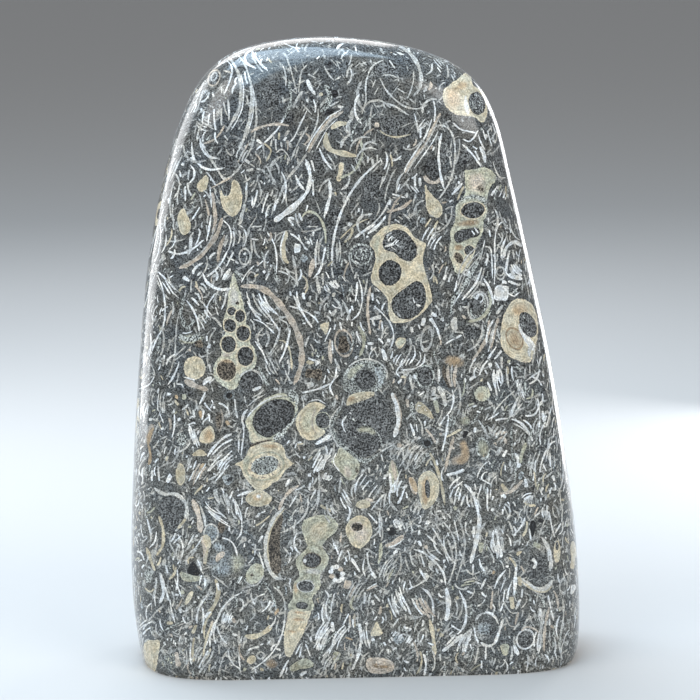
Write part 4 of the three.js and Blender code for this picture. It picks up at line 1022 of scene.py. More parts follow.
    ("cream", (7, -20, 158, -19, 126)), ("pale", (5, -12, 166, -12, 130)),
    ("white", (7.5, -6, 140, -3, 104, -9, 64, -26, 19), (4.5, 2, 106, 10, 81)),
    ("pale", (4.5, -32, 84, -33, 56)), ("rust", (5, -42, 104, -22, 96)), ("moss", (16, -60, 70, -66, 44)),
    ("pale", (4, -8, 234, -26, 204, -32, 180)), ("sand", (5, -16, 230, -32, 200)),
    ("body sand", (15, -32, 244, -40, 220)), ("white", (7, -27, 298, -16, 280, -5, 262),
     (5, 12, 312, 15, 284, 24, 260), (9.5, 22, 262, 34, 246)), ("pale", (4.5, 4, 320, 20, 314, 23, 304)),
    ("white", (4, 6, 296, 2, 270, 8, 250), (6, -7, 242, 0, 240)), ("sand", (4, 9, 216, 38, 230)),
    ("white", (3.5, 10, 220, 34, 234), (7, 24, 196, 28, 179), (5, 6, 214, 5, 184)),
    ("moss", (6, -4, 206, -22, 200, -28, 180, -18, 168)), ("white", (9.5, 22, 99, 30, 92),
     (8, 40, 99, 49, 100)), ("body sand", (12, 56, 326, 76, 330, 100, 350)),
    ("white", (3, 60, 322, 80, 326, 102, 342)), ("pale", (4, 60, 322, 94, 316)),
    ("moss", (8, 46, 334, 44, 300, 38, 280)), ("white", (9, 78, 390, 97, 371)),
    ("black", (10, 69, 369, 74, 362)), ("pale", (4.5, 90, 312, 94, 288, 92, 262)),
    ("moss", (4, 64, 276, 54, 250), (4, 76, 270, 62, 240)), ("white", (4, 104, 240, 98, 212),
     (4, 160, 244, 134, 228, 110, 218), (6, 88, 212, 94, 188, 107, 164)),
    ("pale", (5, 72, 210, 74, 180, 88, 158)), ("white", (4, 88, 148, 73, 126), (5, 108, 180, 118, 154),
     (5.5, 140, 223, 160, 208, 171, 180, 170, 136)), ("sand", (6, 136, 198, 150, 170, 164, 144)),
    ("white", (3.5, 144, 196, 156, 172)), ("cream", (9.5, 162, 146, 170, 110, 174, 76, 174, 44)),
    ("white", (8, 113, 124, 118, 116), (6, 117, 106, 108, 90), (4.5, 149, 110, 142, 90, 131, 82),
     (6, 96, 104, 92, 84), (7, 62, 74, 62, 64), (6, 69, 69, 86, 76)), ("blue", (20, 82, 106, 94, 86)),
    ("white", (4.5, 122, 316, 146, 308, 164, 294, 180, 276), (5, 155, 320, 164, 304, 188, 286)),
    ("pale", (3.5, 110, 400, 118, 376, 120, 350)), ("white", (9, 154, 374, 162, 386)),
    # lower right
    ("white", (4.5, 168, 370, 184, 344, 200, 310, 209, 280)), ("pale", (4, 174, 380, 190, 356),
     (4.5, 194, 384, 216, 354, 226, 320, 226, 286, 214, 244, 206, 226)),
    ("white", (4, 222, 386, 228, 360, 234, 334)),
    ("pale", (5, 224, 402, 240, 370, 248, 334, 245, 296, 234, 260, 226, 234)),
    ("white", (6, 178, 270, 184, 254), (5.5, 158, 300, 180, 280, 196, 256, 202, 226),
     (11.5, 203, 220, 208, 190, 207, 160, 202, 138), (6, 232, 216, 246, 190, 252, 156, 246, 124, 228, 103)),
    ("pale", (3.5, 256, 190, 270, 204, 270, 220)), ("white", (9.5, 243, 106, 220, 84, 193, 64),
     (5, 226, 104, 204, 80), (9.5, 264, 120, 256, 90, 242, 60), (5, 271, 122, 274, 102, 282, 82)),
    ("sand", (5, 250, 64, 240, 50)), ("white", (10, 284, 400, 282, 366, 274, 324, 262, 278),
     (6, 270, 370, 269, 340)), ("pale", (5, 300, 380, 286, 358, 286, 330)),
    ("white", (4.5, 268, 278, 268, 248), (5, 283, 290, 288, 270, 298, 258)),
    ("moss", (12, 288, 330, 286, 304)), ("white", (8, 322, 362, 329, 336, 327, 310, 328, 288),
     (6, 336, 344, 341, 316, 344, 306), (7, 335, 316, 337, 290)), ("black", (8, 299, 340, 302, 334),
     (7, 369, 314, 373, 306)), ("rust", (8, 314, 258, 322, 254)),
    ("white", (8.5, 373, 276, 371, 240, 368, 198)), ("sand", (5, 383, 272, 392, 256)),
    ("cream", (12, 361, 196, 365, 164), (10, 379, 246, 384, 220)),
    ("pale", (4, 340, 190, 352, 166, 366, 154, 380, 158)), ("white", (5, 350, 264, 330, 240, 319, 214),
     (4, 348, 244, 334, 206), (5, 300, 242, 286, 214), (6, 288, 208, 300, 194)),
    ("pale", (3.5, 332, 200, 332, 170)), ("white", (4.5, 388, 216, 386, 190),
     (5, 296, 159, 314, 154, 324, 140), (7.5, 342, 142, 332, 110, 320, 77), (4.5, 300, 76, 299, 40)),
    ("pale", (4, 346, 148, 358, 124, 374, 122)), ("white", (9.5, 367, 77, 379, 50)),
    ("moss", (20, 344, 80, 348, 50)), ("sand", (4, 384, 108, 398, 120, 416, 116, 428, 106)),
    ("white", (8.5, 430, 166, 434, 150, 440, 126)),
    ("grey", (6, 414, 198, 432, 194, 443, 170, 447, 130, 446, 90)),
    ("white", (4.5, 450, 200, 458, 164, 465, 134), (4.5, 462, 102, 470, 76, 467, 50),
     (5, 491, 130, 481, 100, 480, 66, 487, 38), (6, 441, 100, 433, 76, 426, 50)),
    ("sand", (5, 463, 210, 473, 190, 475, 164)), ("white", (3.5, 450, 310, 451, 280)),
    ("cream", (12, 510, 330, 512, 294, 509, 260)), ("white", (11, 514, 224, 508, 198),
     (4, 404, 362, 409, 330)), ("pale", (5, 384, 348, 380, 320)), ("moss", (14, 414, 324, 432, 316)),
)
for kind, *walls in FRONT_WALLS:
    for line in walls:
        thick, *line = np.array(line) / 10
        if kind == "ring":
            ring("pale", *line, thick)
        else:
            solid = kind.startswith("body ")
            wall(kind.split()[-1], thick, *line, depth=chance.uniform(0.3, 0.9), body=solid)

# Bundles of splinters that lie side by side on the front: a tone, and then each bundle as the x and
# z of its middle, its heading, and its splinters' length, gap, number and thickness.
FRONT_FANS = (
    ("white", (-32.6, 52.8, 52, 6.5, 0.8, 3, 0.45)), ("sand", (-38.8, 51, 62, 5, 0.8, 3, 0.5)),
    ("white", (-40, 59.3, 102, 4.6, 0.8, 2, 0.45), (-35, 41.2, 143, 7, 0.7, 3, 0.4)),
    ("pale", (-33, 44.4, 112, 5, 0.7, 4, 0.4), (-30, 41.8, 108, 6.5, 0.8, 2, 0.4)),
    ("white", (-51, 51.5, 88, 4, 0.8, 6, 0.4), (-52.3, 66, 86, 4, 0.7, 3, 0.4),
     (-36.6, 72.8, 38, 2.6, 0.6, 3, 0.4)), ("pale", (-21, 76, 112, 5, 0.8, 4, 0.4),
     (-48, 68, 86, 5, 0.9, 4, 0.35)), ("white", (32.9, 72, 96, 6, 0.7, 3, 0.45)),
    ("pale", (38.6, 69.6, 104, 5.5, 0.6, 3, 0.35), (42.5, 60, 78, 7, 0.7, 5, 0.35)),
    ("white", (44.2, 63, 70, 2.4, 0.6, 2, 0.5)), ("pale", (41.3, 52, 78, 6, 0.7, 4, 0.4),
     (33, 59.5, 60, 3, 0.9, 5, 0.5)), ("white", (23, 44.5, 70, 4.5, 1, 4, 0.5)),
    ("pale", (27, 43.5, 100, 5, 0.9, 4, 0.45)), ("white", (39.8, 43.2, 25, 3, 0.6, 4, 0.5),
     (44.2, 40.5, 95, 4, 0.6, 3, 0.4), (36.6, 98.4, 130, 4, 0.8, 4, 0.45),
     (36.2, 93.3, 150, 3, 0.6, 3, 0.4)), ("pale", (31, 84.5, 74, 8, 0.9, 3, 0.5)),
    ("white", (17, 106.5, 60, 4, 0.9, 5, 0.4)), ("pale", (41, 78.4, 84, 4, 0.7, 3, 0.4),
     (25.4, 98.6, 58, 12, 1, 3, 0.4)), ("white", (-9.8, 52.8, 62, 5, 0.8, 4, 0.6)),
    ("pale", (13.2, 55.4, 52, 7, 0.85, 7, 0.5)), ("white", (-8.2, 49.4, 60, 2, 0.8, 3, 0.6)),
    ("pale", (-17.6, 49.6, 10, 4, 0.6, 3, 0.4)), ("white", (8.6, 47.2, 75, 6, 0.7, 3, 0.5),
     (-4, 44, 118, 4, 0.8, 3, 0.4)), ("pale", (5.6, 43.6, 80, 4, 0.8, 3, 0.4),
     (-7, 41.6, 115, 4, 0.8, 5, 0.4)), ("white", (9.6, 77, 60, 3.5, 0.7, 5, 0.35),
     (-32.5, 15.5, 72, 3, 0.5, 5, 0.35)), ("pale", (-38.8, 6.6, 62, 6, 0.7, 5, 0.4),
     (-43.8, 31.5, 78, 5, 0.8, 3, 0.4)), ("white", (-52.2, 14, 40, 4, 0.7, 4, 0.4)),
    ("cream", (-36.5, 12.5, 74, 9, 0.8, 3, 0.5)), ("pale", (-29, 24.8, 60, 2.5, 0.5, 4, 0.35),
     (-37, 22, 66, 5, 0.7, 3, 0.4)), ("white", (8.6, 10.6, 50, 2, 0.7, 5, 0.6),
     (12, 8.6, 50, 2.4, 0.7, 4, 0.6), (6, 9, 120, 1.6, 0.9, 4, 0.7), (10.6, 11.6, 160, 2, 0.7, 3, 0.5),
     (-9.4, 11.2, 62, 7, 0.75, 4, 0.55), (-6.6, 9, 58, 9, 0.8, 4, 0.5)),
    ("pale", (-8, 5, 60, 5, 0.7, 5, 0.45)), ("white", (-8.3, 17.5, 88, 7, 0.9, 3, 0.55)),
    ("pale", (-1.6, 21, 62, 6, 0.8, 4, 0.45), (1.4, 20, 80, 4, 0.7, 3, 0.4)),
    ("white", (8.4, 19, 112, 6, 0.9, 5, 0.45)), ("pale", (6.8, 26, 62, 6, 0.7, 6, 0.35)),
    ("sand", (14.8, 17.4, 122, 6, 0.8, 4, 0.5), (-2, 14.6, 95, 4, 0.6, 4, 0.4)),
    ("white", (0.4, 11.2, 100, 6, 0.8, 3, 0.5), (8.8, 38, 115, 3.5, 0.7, 3, 0.5)),
    ("pale", (11.6, 38, 95, 3.5, 0.7, 3, 0.35)), ("white", (25.2, 8.8, 66, 6, 0.8, 3, 0.6),
     (19.5, 32.5, 112, 9, 1.1, 3, 0.45), (32.9, 32.6, 98, 6, 0.9, 4, 0.55), (43, 9, 82, 6, 0.8, 3, 0.5),
     (47.6, 9.5, 86, 8, 0.9, 3, 0.5), (43.2, 14.6, 100, 4, 0.6, 3, 0.45)),
    ("moss", (25.6, 23.2, 10, 4, 0.7, 3, 0.4)), ("sand", (44.4, 12.6, 84, 12, 0.7, 2, 0.6)),
    ("white", (-23.6, 90.5, 125, 7, 0.8, 6, 0.45)), ("pale", (-45.6, 95.6, 122, 6, 0.7, 5, 0.35)),
    ("white", (-37, 88.6, 120, 3.5, 0.7, 5, 0.35), (-21.2, 113.6, 72, 4.5, 0.8, 3, 0.5),
     (7.6, 106, 50, 2.6, 0.6, 5, 0.4), (-7, 95.2, 120, 3, 0.6, 6, 0.4)),
    ("pale", (-28, 126.4, 62, 4.4, 0.6, 3, 0.4), (-36.6, 133.4, 151, 4.4, 0.7, 3, 0.4)),
)
for kind, *fans in FRONT_FANS:
    for place in fans:
        fan(kind, *place)


# ---- The shells of the back, the sides, the top and the base ----
# More snails of the same bed, cut lengthwise or across as the saw met them, with long bowed walls
# and chips between them. The back and the sides are unrolled into one sheet from the middle of the
# back, and the top and the base are laid out flat.
OFF_THE_FRONT = -0.25
LEVEL = 0.6
TIP_HALF_WIDTH = 0.015
SPIRE_SPREAD = 0.17
WHORL_SWELL = 0.15
WHORL_CORNERS = 9
WHORL_LIP = 1.25
ROOM_FOR_A_WALL = 110
ROOM_FOR_A_CHIP = 330
CHIP = 1.3 * np.array([(1, 0), (0.3, 1), (-0.8, 0.6), (-0.8, -0.6), (0.3, -1)])

loop = np.vstack([lattice[0], lattice[1:, -1], lattice[-1, -2::-1]])
along_rows = np.cumsum(np.linalg.norm(np.diff(points[loop], axis=0), axis=2), 0)
up_columns = np.cumsum(np.linalg.norm(np.diff(points[loop], axis=1), axis=2), 1)
unrolled = np.zeros((len(points), 2))
unrolled[loop[1:], 0] = along_rows[len(loop) // 2] - along_rows
unrolled[loop[0], 0] = along_rows[len(loop) // 2]
unrolled[loop[:, 1:], 1] = up_columns
wrapped = np.arange(cells_across * cells_up, 2 * (cells_across + cells_through) * cells_up)
wrapped = wrapped[facing[wrapped, 1] > OFF_THE_FRONT]
AROUND = (wrapped, unrolled[quads[wrapped]])


def level_face(height, normal):
    """The cells of the top or the base, all but those that show on the front."""
    cells, place = flat_at(np.array([0, 0, height]), np.array([0, 0, normal]), WIDTH)
    keep = (facing[cells, 1] > OFF_THE_FRONT) & (facing[cells, 2] * normal > LEVEL)
    return cells[keep], place[keep]


TOP = level_face(HEIGHT, 1.0)
BASE = level_face(0, -1.0)


def cut_along(ground, x, z, long, lean, kind, whorls, tip=0.08):
    """A tall snail cut along its length, from its tip down: a pale cone with two rows of hollows."""
    c, s = toward(lean)
    turned = np.array([(c, s), (-s, c)])
    down = np.linspace(tip, 1, 2 * whorls + 1)
    half = long * (TIP_HALF_WIDTH + SPIRE_SPREAD * down) * chance.uniform(0.94, 1.06, len(down))
    swell = WHORL_SWELL * half * np.cos(np.arange(len(down)) * math.pi)
    right = np.stack([half - swell, -long * down], 1)
    left = np.stack([-half - swell, -long * down], 1)
    point, lip = (0, -long * (tip - 0.06)), (0.3 * half[-1], -long * 1.07)
    rim = np.array([x, z]) + np.vstack([[point], right, [lip], left[::-1]]) @ turned
    blob(kind, chance.uniform(0.5, 0.9), *rim, ground=ground)
    for n in range(2, 2 * whorls, 3):
        middle = (x, z) + np.array([chance.normal(0, 0.4) * half[n], -long * down[n]]) @ turned
        tint = ("rust", "cream", "pale", "sand")[chance.integers(4)]
        disc(tint, *middle, 0.9 * half[n], 0.5 * half[n], 0.8, lean, SOFT, ground)
    for n in range(2, 2 * whorls):
        side = 1 if n % 2 else -1
        middle = (x, z) + np.array([side * 0.46 * half[n], -long * down[n]]) @ turned
        wide = min(half[n] * chance.uniform(0.32, 0.44), 0.46 * long * (down[2] - down[0]))
        fill = ("infill", "infill", "infill", "brown", "grey")[chance.integers(5)]
        hollow(*middle, wide * chance.uniform(0.9, 1.15), wide * chance.uniform(0.75, 1.1),
               lean=lean + chance.normal(0, 25), depth=chance.uniform(0.2, 0.9), kind=fill,
               lip=0.08 * wide, ground=ground)


def cut_across(ground, x, z, size, lean, kind):
    """A fat whorl cut square across: a thick pale ring drawn out to a lip and filled with mud."""
    turns = np.radians(lean + np.arange(WHORL_CORNERS) * 40)
    out = size * chance.uniform(0.9, 1.08, WHORL_CORNERS)
    out[WHORL_CORNERS // 2] *= WHORL_LIP
    rim = np.array([x, z]) + np.stack([out * np.cos(turns), out * np.sin(turns)], 1)
    blob(kind, chance.uniform(0.5, 0.9), *rim, ground=ground)
    aside = 0.16 * size * np.array([math.cos(turns[0]), math.sin(turns[0])])
    disc("rust", *(x, z) - 2.4 * aside, 0.5 * size, 0.3 * size, 0.8, lean, SOFT, ground)
    hollow(*(x, z) + aside, size * chance.uniform(0.42, 0.6), size * chance.uniform(0.4, 0.55),
           chance.uniform(0.2, 0.9), lean, lip=0.1 * size, ground=ground)


def bowed_wall(ground, x, z, heading, long):
    """A long piece of wall, bowed one way or curled twice."""
    ahead = toward(heading) * long / 2
    aside = np.array([-ahead[1], ahead[0]])
    first, second = chance.normal(0, 0.2, 2)
    middle = np.array([x, z])
    kind = ("white", "pale", "pale", "sand", "cream")[chance.integers(5)]
    wall(kind, chance.uniform(0.4, 1.15), middle - ahead, middle - ahead * 0.35 + aside * first,
         middle + ahead * 0.35 + aside * second, middle + ahead, depth=chance.uniform(0.4, 1),
         shy=1, ground=ground)


# For each face, the snails cut along as x, z, length, lean, tone, whorls and where the cut starts,
# and the whorls cut across as x, z, size, lean and tone.
for ground, snails, whorls in (
    (AROUND, (
        (-28, 133, 30, 12, "cream", 6), (26, 134, 32, -20, "moss", 3, 0.5), (-8, 100, 34, 35, "moss", 7),
        (37, 94, 20, -8, "cream", 4), (-34, 96, 36, -8, "moss", 3, 0.55), (8, 62, 28, 80, "cream", 6),
        (-24, 60, 26, -12, "moss", 5), (40, 54, 34, 6, "moss", 3, 0.5), (-48, 42, 18, 14, "cream", 4),
        (6, 46, 36, -50, "moss", 3, 0.6), (34, 14, 14, -75, "cream", 4), (62, 98, 20, 4, "moss", 5),
        (71, 48, 22, -8, "cream", 5), (-53, 106, 18, 6, "cream", 4), (-69, 62, 24, -6, "moss", 6),
    ), (
        (8, 135, 5, 30, "cream"), (-16, 112, 4, 200, "moss"), (24, 136, 3.4, 100, "cream"),
        (-37, 112, 3.6, 60, "cream"), (6, 116, 3, 0, "sand"), (30, 68, 6, 140, "cream"),
        (-8, 78, 5.4, 20, "moss"), (-48, 80, 3.4, 250, "cream"), (-34, 26, 6.4, 120, "cream"),
        (-6, 13, 4.4, 0, "moss"), (20, 42, 4, 210, "cream"), (49, 8, 3.8, 60, "cream"),
        (-48, 12, 4, 0, "sand"), (14, 8, 3, 90, "cream"), (47, 70, 3, 300, "sand"),
        (66, 112, 3.2, 0, "cream"), (61, 68, 3.8, 120, "moss"), (74, 60, 2.6, 40, "cream"),
        (69, 15, 4.4, 200, "cream"), (83, 10, 2.8, 90, "sand"), (-55, 76, 3.4, 0, "cream"),
        (-58, 34, 3.2, 90, "moss"), (-78, 24, 3.6, 60, "cream"), (-68, 9, 4, 210, "cream"),
    )),
    (TOP, ((-22, 5, 15, 84, "cream", 4), (16, 4, 12, -70, "moss", 3)), (
        (2, 7, 3, 30, "cream"), (22, 5, 2.6, 0, "moss"),
    )),
    (BASE, ((-30, 4, 24, 70, "moss", 5), (20, -8, 20, -60, "cream", 5)), (
        (-8, -10, 5, 0, "cream"), (34, 8, 4.4, 90, "moss"), (8, 10, 3.6, 200, "cream"),
        (-44, -8, 4, 0, "cream"),
    )),
):
    for snail in snails:
        cut_along(ground, *snail)
    for whorl in whorls:
        cut_across(ground, *whorl)
    low, high = ground[1].reshape(-1, 2).min(0), ground[1].reshape(-1, 2).max(0)
    for _ in range(int((high - low).prod() / ROOM_FOR_A_WALL)):
        x, z = chance.uniform(low, high)
        bowed_wall(ground, x, z, chance.normal(85, 35), chance.uniform(6, 20))
    for _ in range(int((high - low).prod() / ROOM_FOR_A_CHIP)):
        x, z = chance.uniform(low, high)
        kind = ("cream", "sand", "moss", "rust", "white")[chance.integers(5)]
        blob(kind, 0.5, *(x, z) + chance.uniform(-1, 1, CHIP.shape) + CHIP, ground=ground)
        x, z = chance.uniform(low, high)
        fan(("white", "pale")[chance.integers(2)], x, z, chance.normal(80, 30),
            chance.uniform(4, 9), 0.85, chance.integers(3, 7), 0.5, ground=ground)

# The whole stone holds the same litter between the shells: swarms of splinters that lie nearly side
# by side, as the waves left them, and crumbs between them.
PATCHES = 22000
SHORTEST = 1.4
LONGEST = 13
SHY = 0.6
HEADING_SPREAD = 24
SWARM_SIZE = (1, 7)
SWARM_GAP = (0.7, 1.6)
SWARM_SPREAD = 8
CRUMB_CHANCE = 0.22
SPLINTER_TONES = ("white", "pale", "grey", "cream", "sand", "moss", "blue")
SPLINTER_SHARES = (0.34, 0.40, 0.12, 0.04, 0.05, 0.03, 0.02)
CRUMB_TONES = ("white", "pale", "cream", "sand", "rust", "moss", "grey", "black")
CRUMB_SHARES = (0.29, 0.28, 0.1, 0.09, 0.01, 0.09, 0.12, 0.02)


def drift(place):
    """The splinters' usual heading at a point of the skin, in degrees from level.

    They lean a little, most of all low down in the middle, and sway in long waves.
    """
    x, y, z = place
    side = 1 if y < 0 else -1
    lean = 12 * math.sin(x / 15 + z / 33) + 9 * math.sin(z / 12 - x / 40)
    return 90 - side * (8 + 14 * math.exp(-((x + 4) / 16) ** 2 - ((z - 14) / 22) ** 2)) + lean


def crowding(place):
    """How thick the litter lies, from 0 to 1: thick low down, and thin high up in the middle."""
    x, _, z = place
    low = 1 / (1 + math.exp((z - 78) / 16))
    clear = math.exp(-((x + 3) / 12) ** 2 - ((z - 120) / 16) ** 2)
    return 0.13 + 0.76 * low - 0.08 * clear


def splinter(ground, tones, shares, middle, heading, long, thick, bend):
    """One broken piece of wall, bowed to one side."""
    ahead = toward(heading) * long / 2
    aside = np.array([-ahead[1], ahead[0]]) * bend
    kind = tones[chance.choice(len(tones), p=shares)]
    wall(kind, thick, middle - ahead, middle - ahead * 0.4 + aside, middle + ahead * 0.4 + aside,
         middle + ahead, depth=chance.uniform(0.15, 1), shy=SHY, ground=ground)


def swarm(ground, heading, long):
    """A handful of splinters round the middle of a ground, nearly parallel."""
    count = chance.integers(*SWARM_SIZE)
    bend = chance.normal(0, 0.16 + 0.015 * long)
    gap = chance.uniform(*SWARM_GAP)
    for n in range(count):
        turn = heading + chance.normal(0, SWARM_SPREAD)
        ahead = toward(turn)
        aside = np.array([-ahead[1], ahead[0]])
        middle = (n - (count - 1) / 2) * gap * aside + chance.normal(0, 0.25 * long) * ahead
        thick = min(0.28 + 0.02 * long + chance.exponential(0.08), THICK)
        splinter(ground, SPLINTER_TONES, SPLINTER_SHARES, middle, turn, long * chance.uniform(0.35, 1),
                 thick, bend + chance.normal(0, 0.05))


def crumbs(ground):
    """A few short chips that lie anyhow."""
    for _ in range(chance.integers(1, 4)):
        splinter(ground, CRUMB_TONES, CRUMB_SHARES, chance.normal(0, 1.2, 2), chance.uniform(0, 180),
                 chance.uniform(0.7, 2), chance.uniform(0.3, 0.9), 0)


for cell in chance.choice(len(quads), PATCHES, replace=False):
    if chance.random() > crowding(middles[cell]):
        continue
    long = min(SHORTEST + chance.exponential(2 + middles[cell][2] / 100), LONGEST)
    ground = flat_at(middles[cell], facing[cell], long + 3)
    if chance.random() < CRUMB_CHANCE:
        crumbs(ground)
    else:
        swarm(ground, drift(middles[cell]) + chance.normal(0, HEADING_SPREAD), long)

# Each layer is kept on the net's corners for the colours to read.
for n in range(LAYERS):
    store = block.attributes.new(name=f"shell_{n}", type="FLOAT_VECTOR", domain="CORNER")
    store.data.foreach_set("vector", layers[n].ravel())

# The polish shows the colours sharp and deep, so they are worked out from the place in the stone.
# A tone runs from its first shade to its second, and has its share of the mud's grit.
PALETTE = {
    "white": ((0.44, 0.45, 0.45), (0.98, 0.99, 1.0), 0.18),
    "pale": ((0.24, 0.24, 0.23), (0.70, 0.70, 0.68), 0.25),
    "cream": ((0.28, 0.25, 0.18), (0.77, 0.695, 0.54), 0.18),
    "sand": ((0.25, 0.22, 0.185), (0.70, 0.62, 0.535), 0.25),
    "rust": ((0.21, 0.155, 0.105), (0.62, 0.475, 0.315), 0.22),
    "moss": ((0.20, 0.205, 0.16), (0.62, 0.615, 0.50), 0.25),
    "grey": ((0.13, 0.14, 0.135), (0.42, 0.44, 0.42), 0.8),
    "infill": ((0.125, 0.129, 0.128), (0.048, 0.050, 0.051), 1.0),
    "brown": ((0.042, 0.038, 0.033), (0.16, 0.135, 0.105), 0.9),
    "black": ((0.004, 0.005, 0.006), (0.035, 0.035, 0.037), 0.8),
    "blue": ((0.14, 0.16, 0.17), (0.42, 0.46, 0.48), 0.5),
}
MUD = ((0.078, 0.086, 0.092, 1), (0.098, 0.097, 0.090, 1))
LOW_MUD = (1.15, 1.14, 1.1, 1)
FLAKE = (0.48, 0.48, 0.46, 1)
SEAM = (0.03, 0.032, 0.034, 1)
GRIT_TINTS = ((1.05, 1.0, 0.91, 1), (0.96, 1.0, 1.03, 1))
PLAIN_BELOW = 0.755
FLAKE_ABOVE = 0.81

look = bpy.data.materials.new("polished_shell_limestone")
look.use_nodes = True
tree = look.node_tree
shader = tree.nodes["Principled BSDF"]


def node(kind, **settings):
    """A new node of the look, with its settings made."""
    made = tree.nodes.new(kind)
    for name, value in settings.items():
        setattr(made, name, value)
    return made


def feed(socket, value):
    """Gives a socket its value, or the output that it follows."""
    if isinstance(value, bpy.types.NodeSocket):
        tree.links.new(value, socket)
    else:
        socket.default_value = value


def sum_of(operation, *values):
    """The output of one sum."""
    made = node("ShaderNodeMath", operation=operation)
    for socket, value in zip(made.inputs, values):
        feed(socket, value)
    return made.outputs[0]


def mixed(share, first, second, blend="MIX"):
    """Two colours mixed."""
    made = node("ShaderNodeMix", data_type="RGBA", blend_type=blend)
    feed(made.inputs["Factor"], share)
    feed(made.inputs[6], first)
    feed(made.inputs[7], second)
    return made.outputs[2]


def grain(size, detail, offset):
    """A soft random pattern of that size in millimetres, from 0 to 1."""
    moved = node("ShaderNodeVectorMath", operation="ADD")
    feed(moved.inputs[0], place)
    moved.inputs[1].default_value = (offset, offset * 0.7, offset * 1.3)
    made = node("ShaderNodeTexNoise")
    feed(made.inputs["Vector"], moved.outputs[0])
    made.inputs["Scale"].default_value = 1 / size
    made.inputs["Detail"].default_value = detail
    return made.outputs["Fac"]


def stretch(value, low, high, to_low=0.0, to_high=1.0):
    """A value moved from one range into another, and kept inside it."""
    made = node("ShaderNodeMapRange")
    for socket, number in zip(made.inputs, (value, low, high, to_low, to_high)):
        feed(socket, number)
    return made.outputs[0]


spot = node("ShaderNodeTexCoord")
in_mm = node("ShaderNodeVectorMath", operation="SCALE")
feed(in_mm.inputs[0], spot.outputs["Object"])
in_mm.inputs["Scale"].default_value = 1 / MM
place = in_mm.outputs[0]


def flakes(thin, long, lean, twist, offset):
    """The cut edges of thin shell flakes that lie one way in clouds in the mud, from 0 to 1."""
    turned = node("ShaderNodeMapping", vector_type="TEXTURE")
    feed(turned.inputs["Vector"], place)
    turned.inputs["Rotation"].default_value = (0, math.radians(lean), math.radians(twist))
    turned.inputs["Scale"].default_value = (thin, long, long)
    made = node("ShaderNodeTexNoise")
    feed(made.inputs["Vector"], turned.outputs[0])
    made.inputs["Scale"].default_value = 1
    made.inputs["Detail"].default_value = 0
    crowd = sum_of("MULTIPLY_ADD", grain(5, 1, offset), 0.5, -0.25)
    crowd = sum_of("MULTIPLY_ADD", thickening, 0.05, crowd)
    return stretch(sum_of("ADD", crowd, made.outputs[0]), PLAIN_BELOW, FLAKE_ABOVE)


# The mud between the shells is a fine grit of dark and light grains and hair thin flakes. It lies
# in soft clouds, and is paler and fuller of flakes towards the foot.
FLAKES = (
    (0.5, 3.2, 8, 35), (0.55, 4, 32, -30), (0.5, 2.6, -20, 40), (0.6, 3, 62, -40),
    (0.5, 2.4, -55, 30),
)
height = node("ShaderNodeSeparateXYZ")
feed(height.inputs[0], place)
thickening = stretch(height.outputs[2], 100.0, 50.0)
clouds = grain(9, 2, 40)
colour = mixed(stretch(clouds, 0.35, 0.65), *MUD)
colour = mixed(thickening, colour, mixed(1.0, colour, LOW_MUD, "MULTIPLY"))
edges = 0.0
for n, (thin, long, lean, twist) in enumerate(FLAKES):
    edges = sum_of("MAXIMUM", edges, flakes(thin, long, lean, twist, 100 + 20 * n))
edges = sum_of("MULTIPLY", edges, stretch(grain(1.8, 1, 170), 0.35, 0.6, 0.2, 0.9))
grit_share = sum_of("MULTIPLY_ADD", edges, -0.4, 0.62)
colour = mixed(edges, colour, FLAKE)
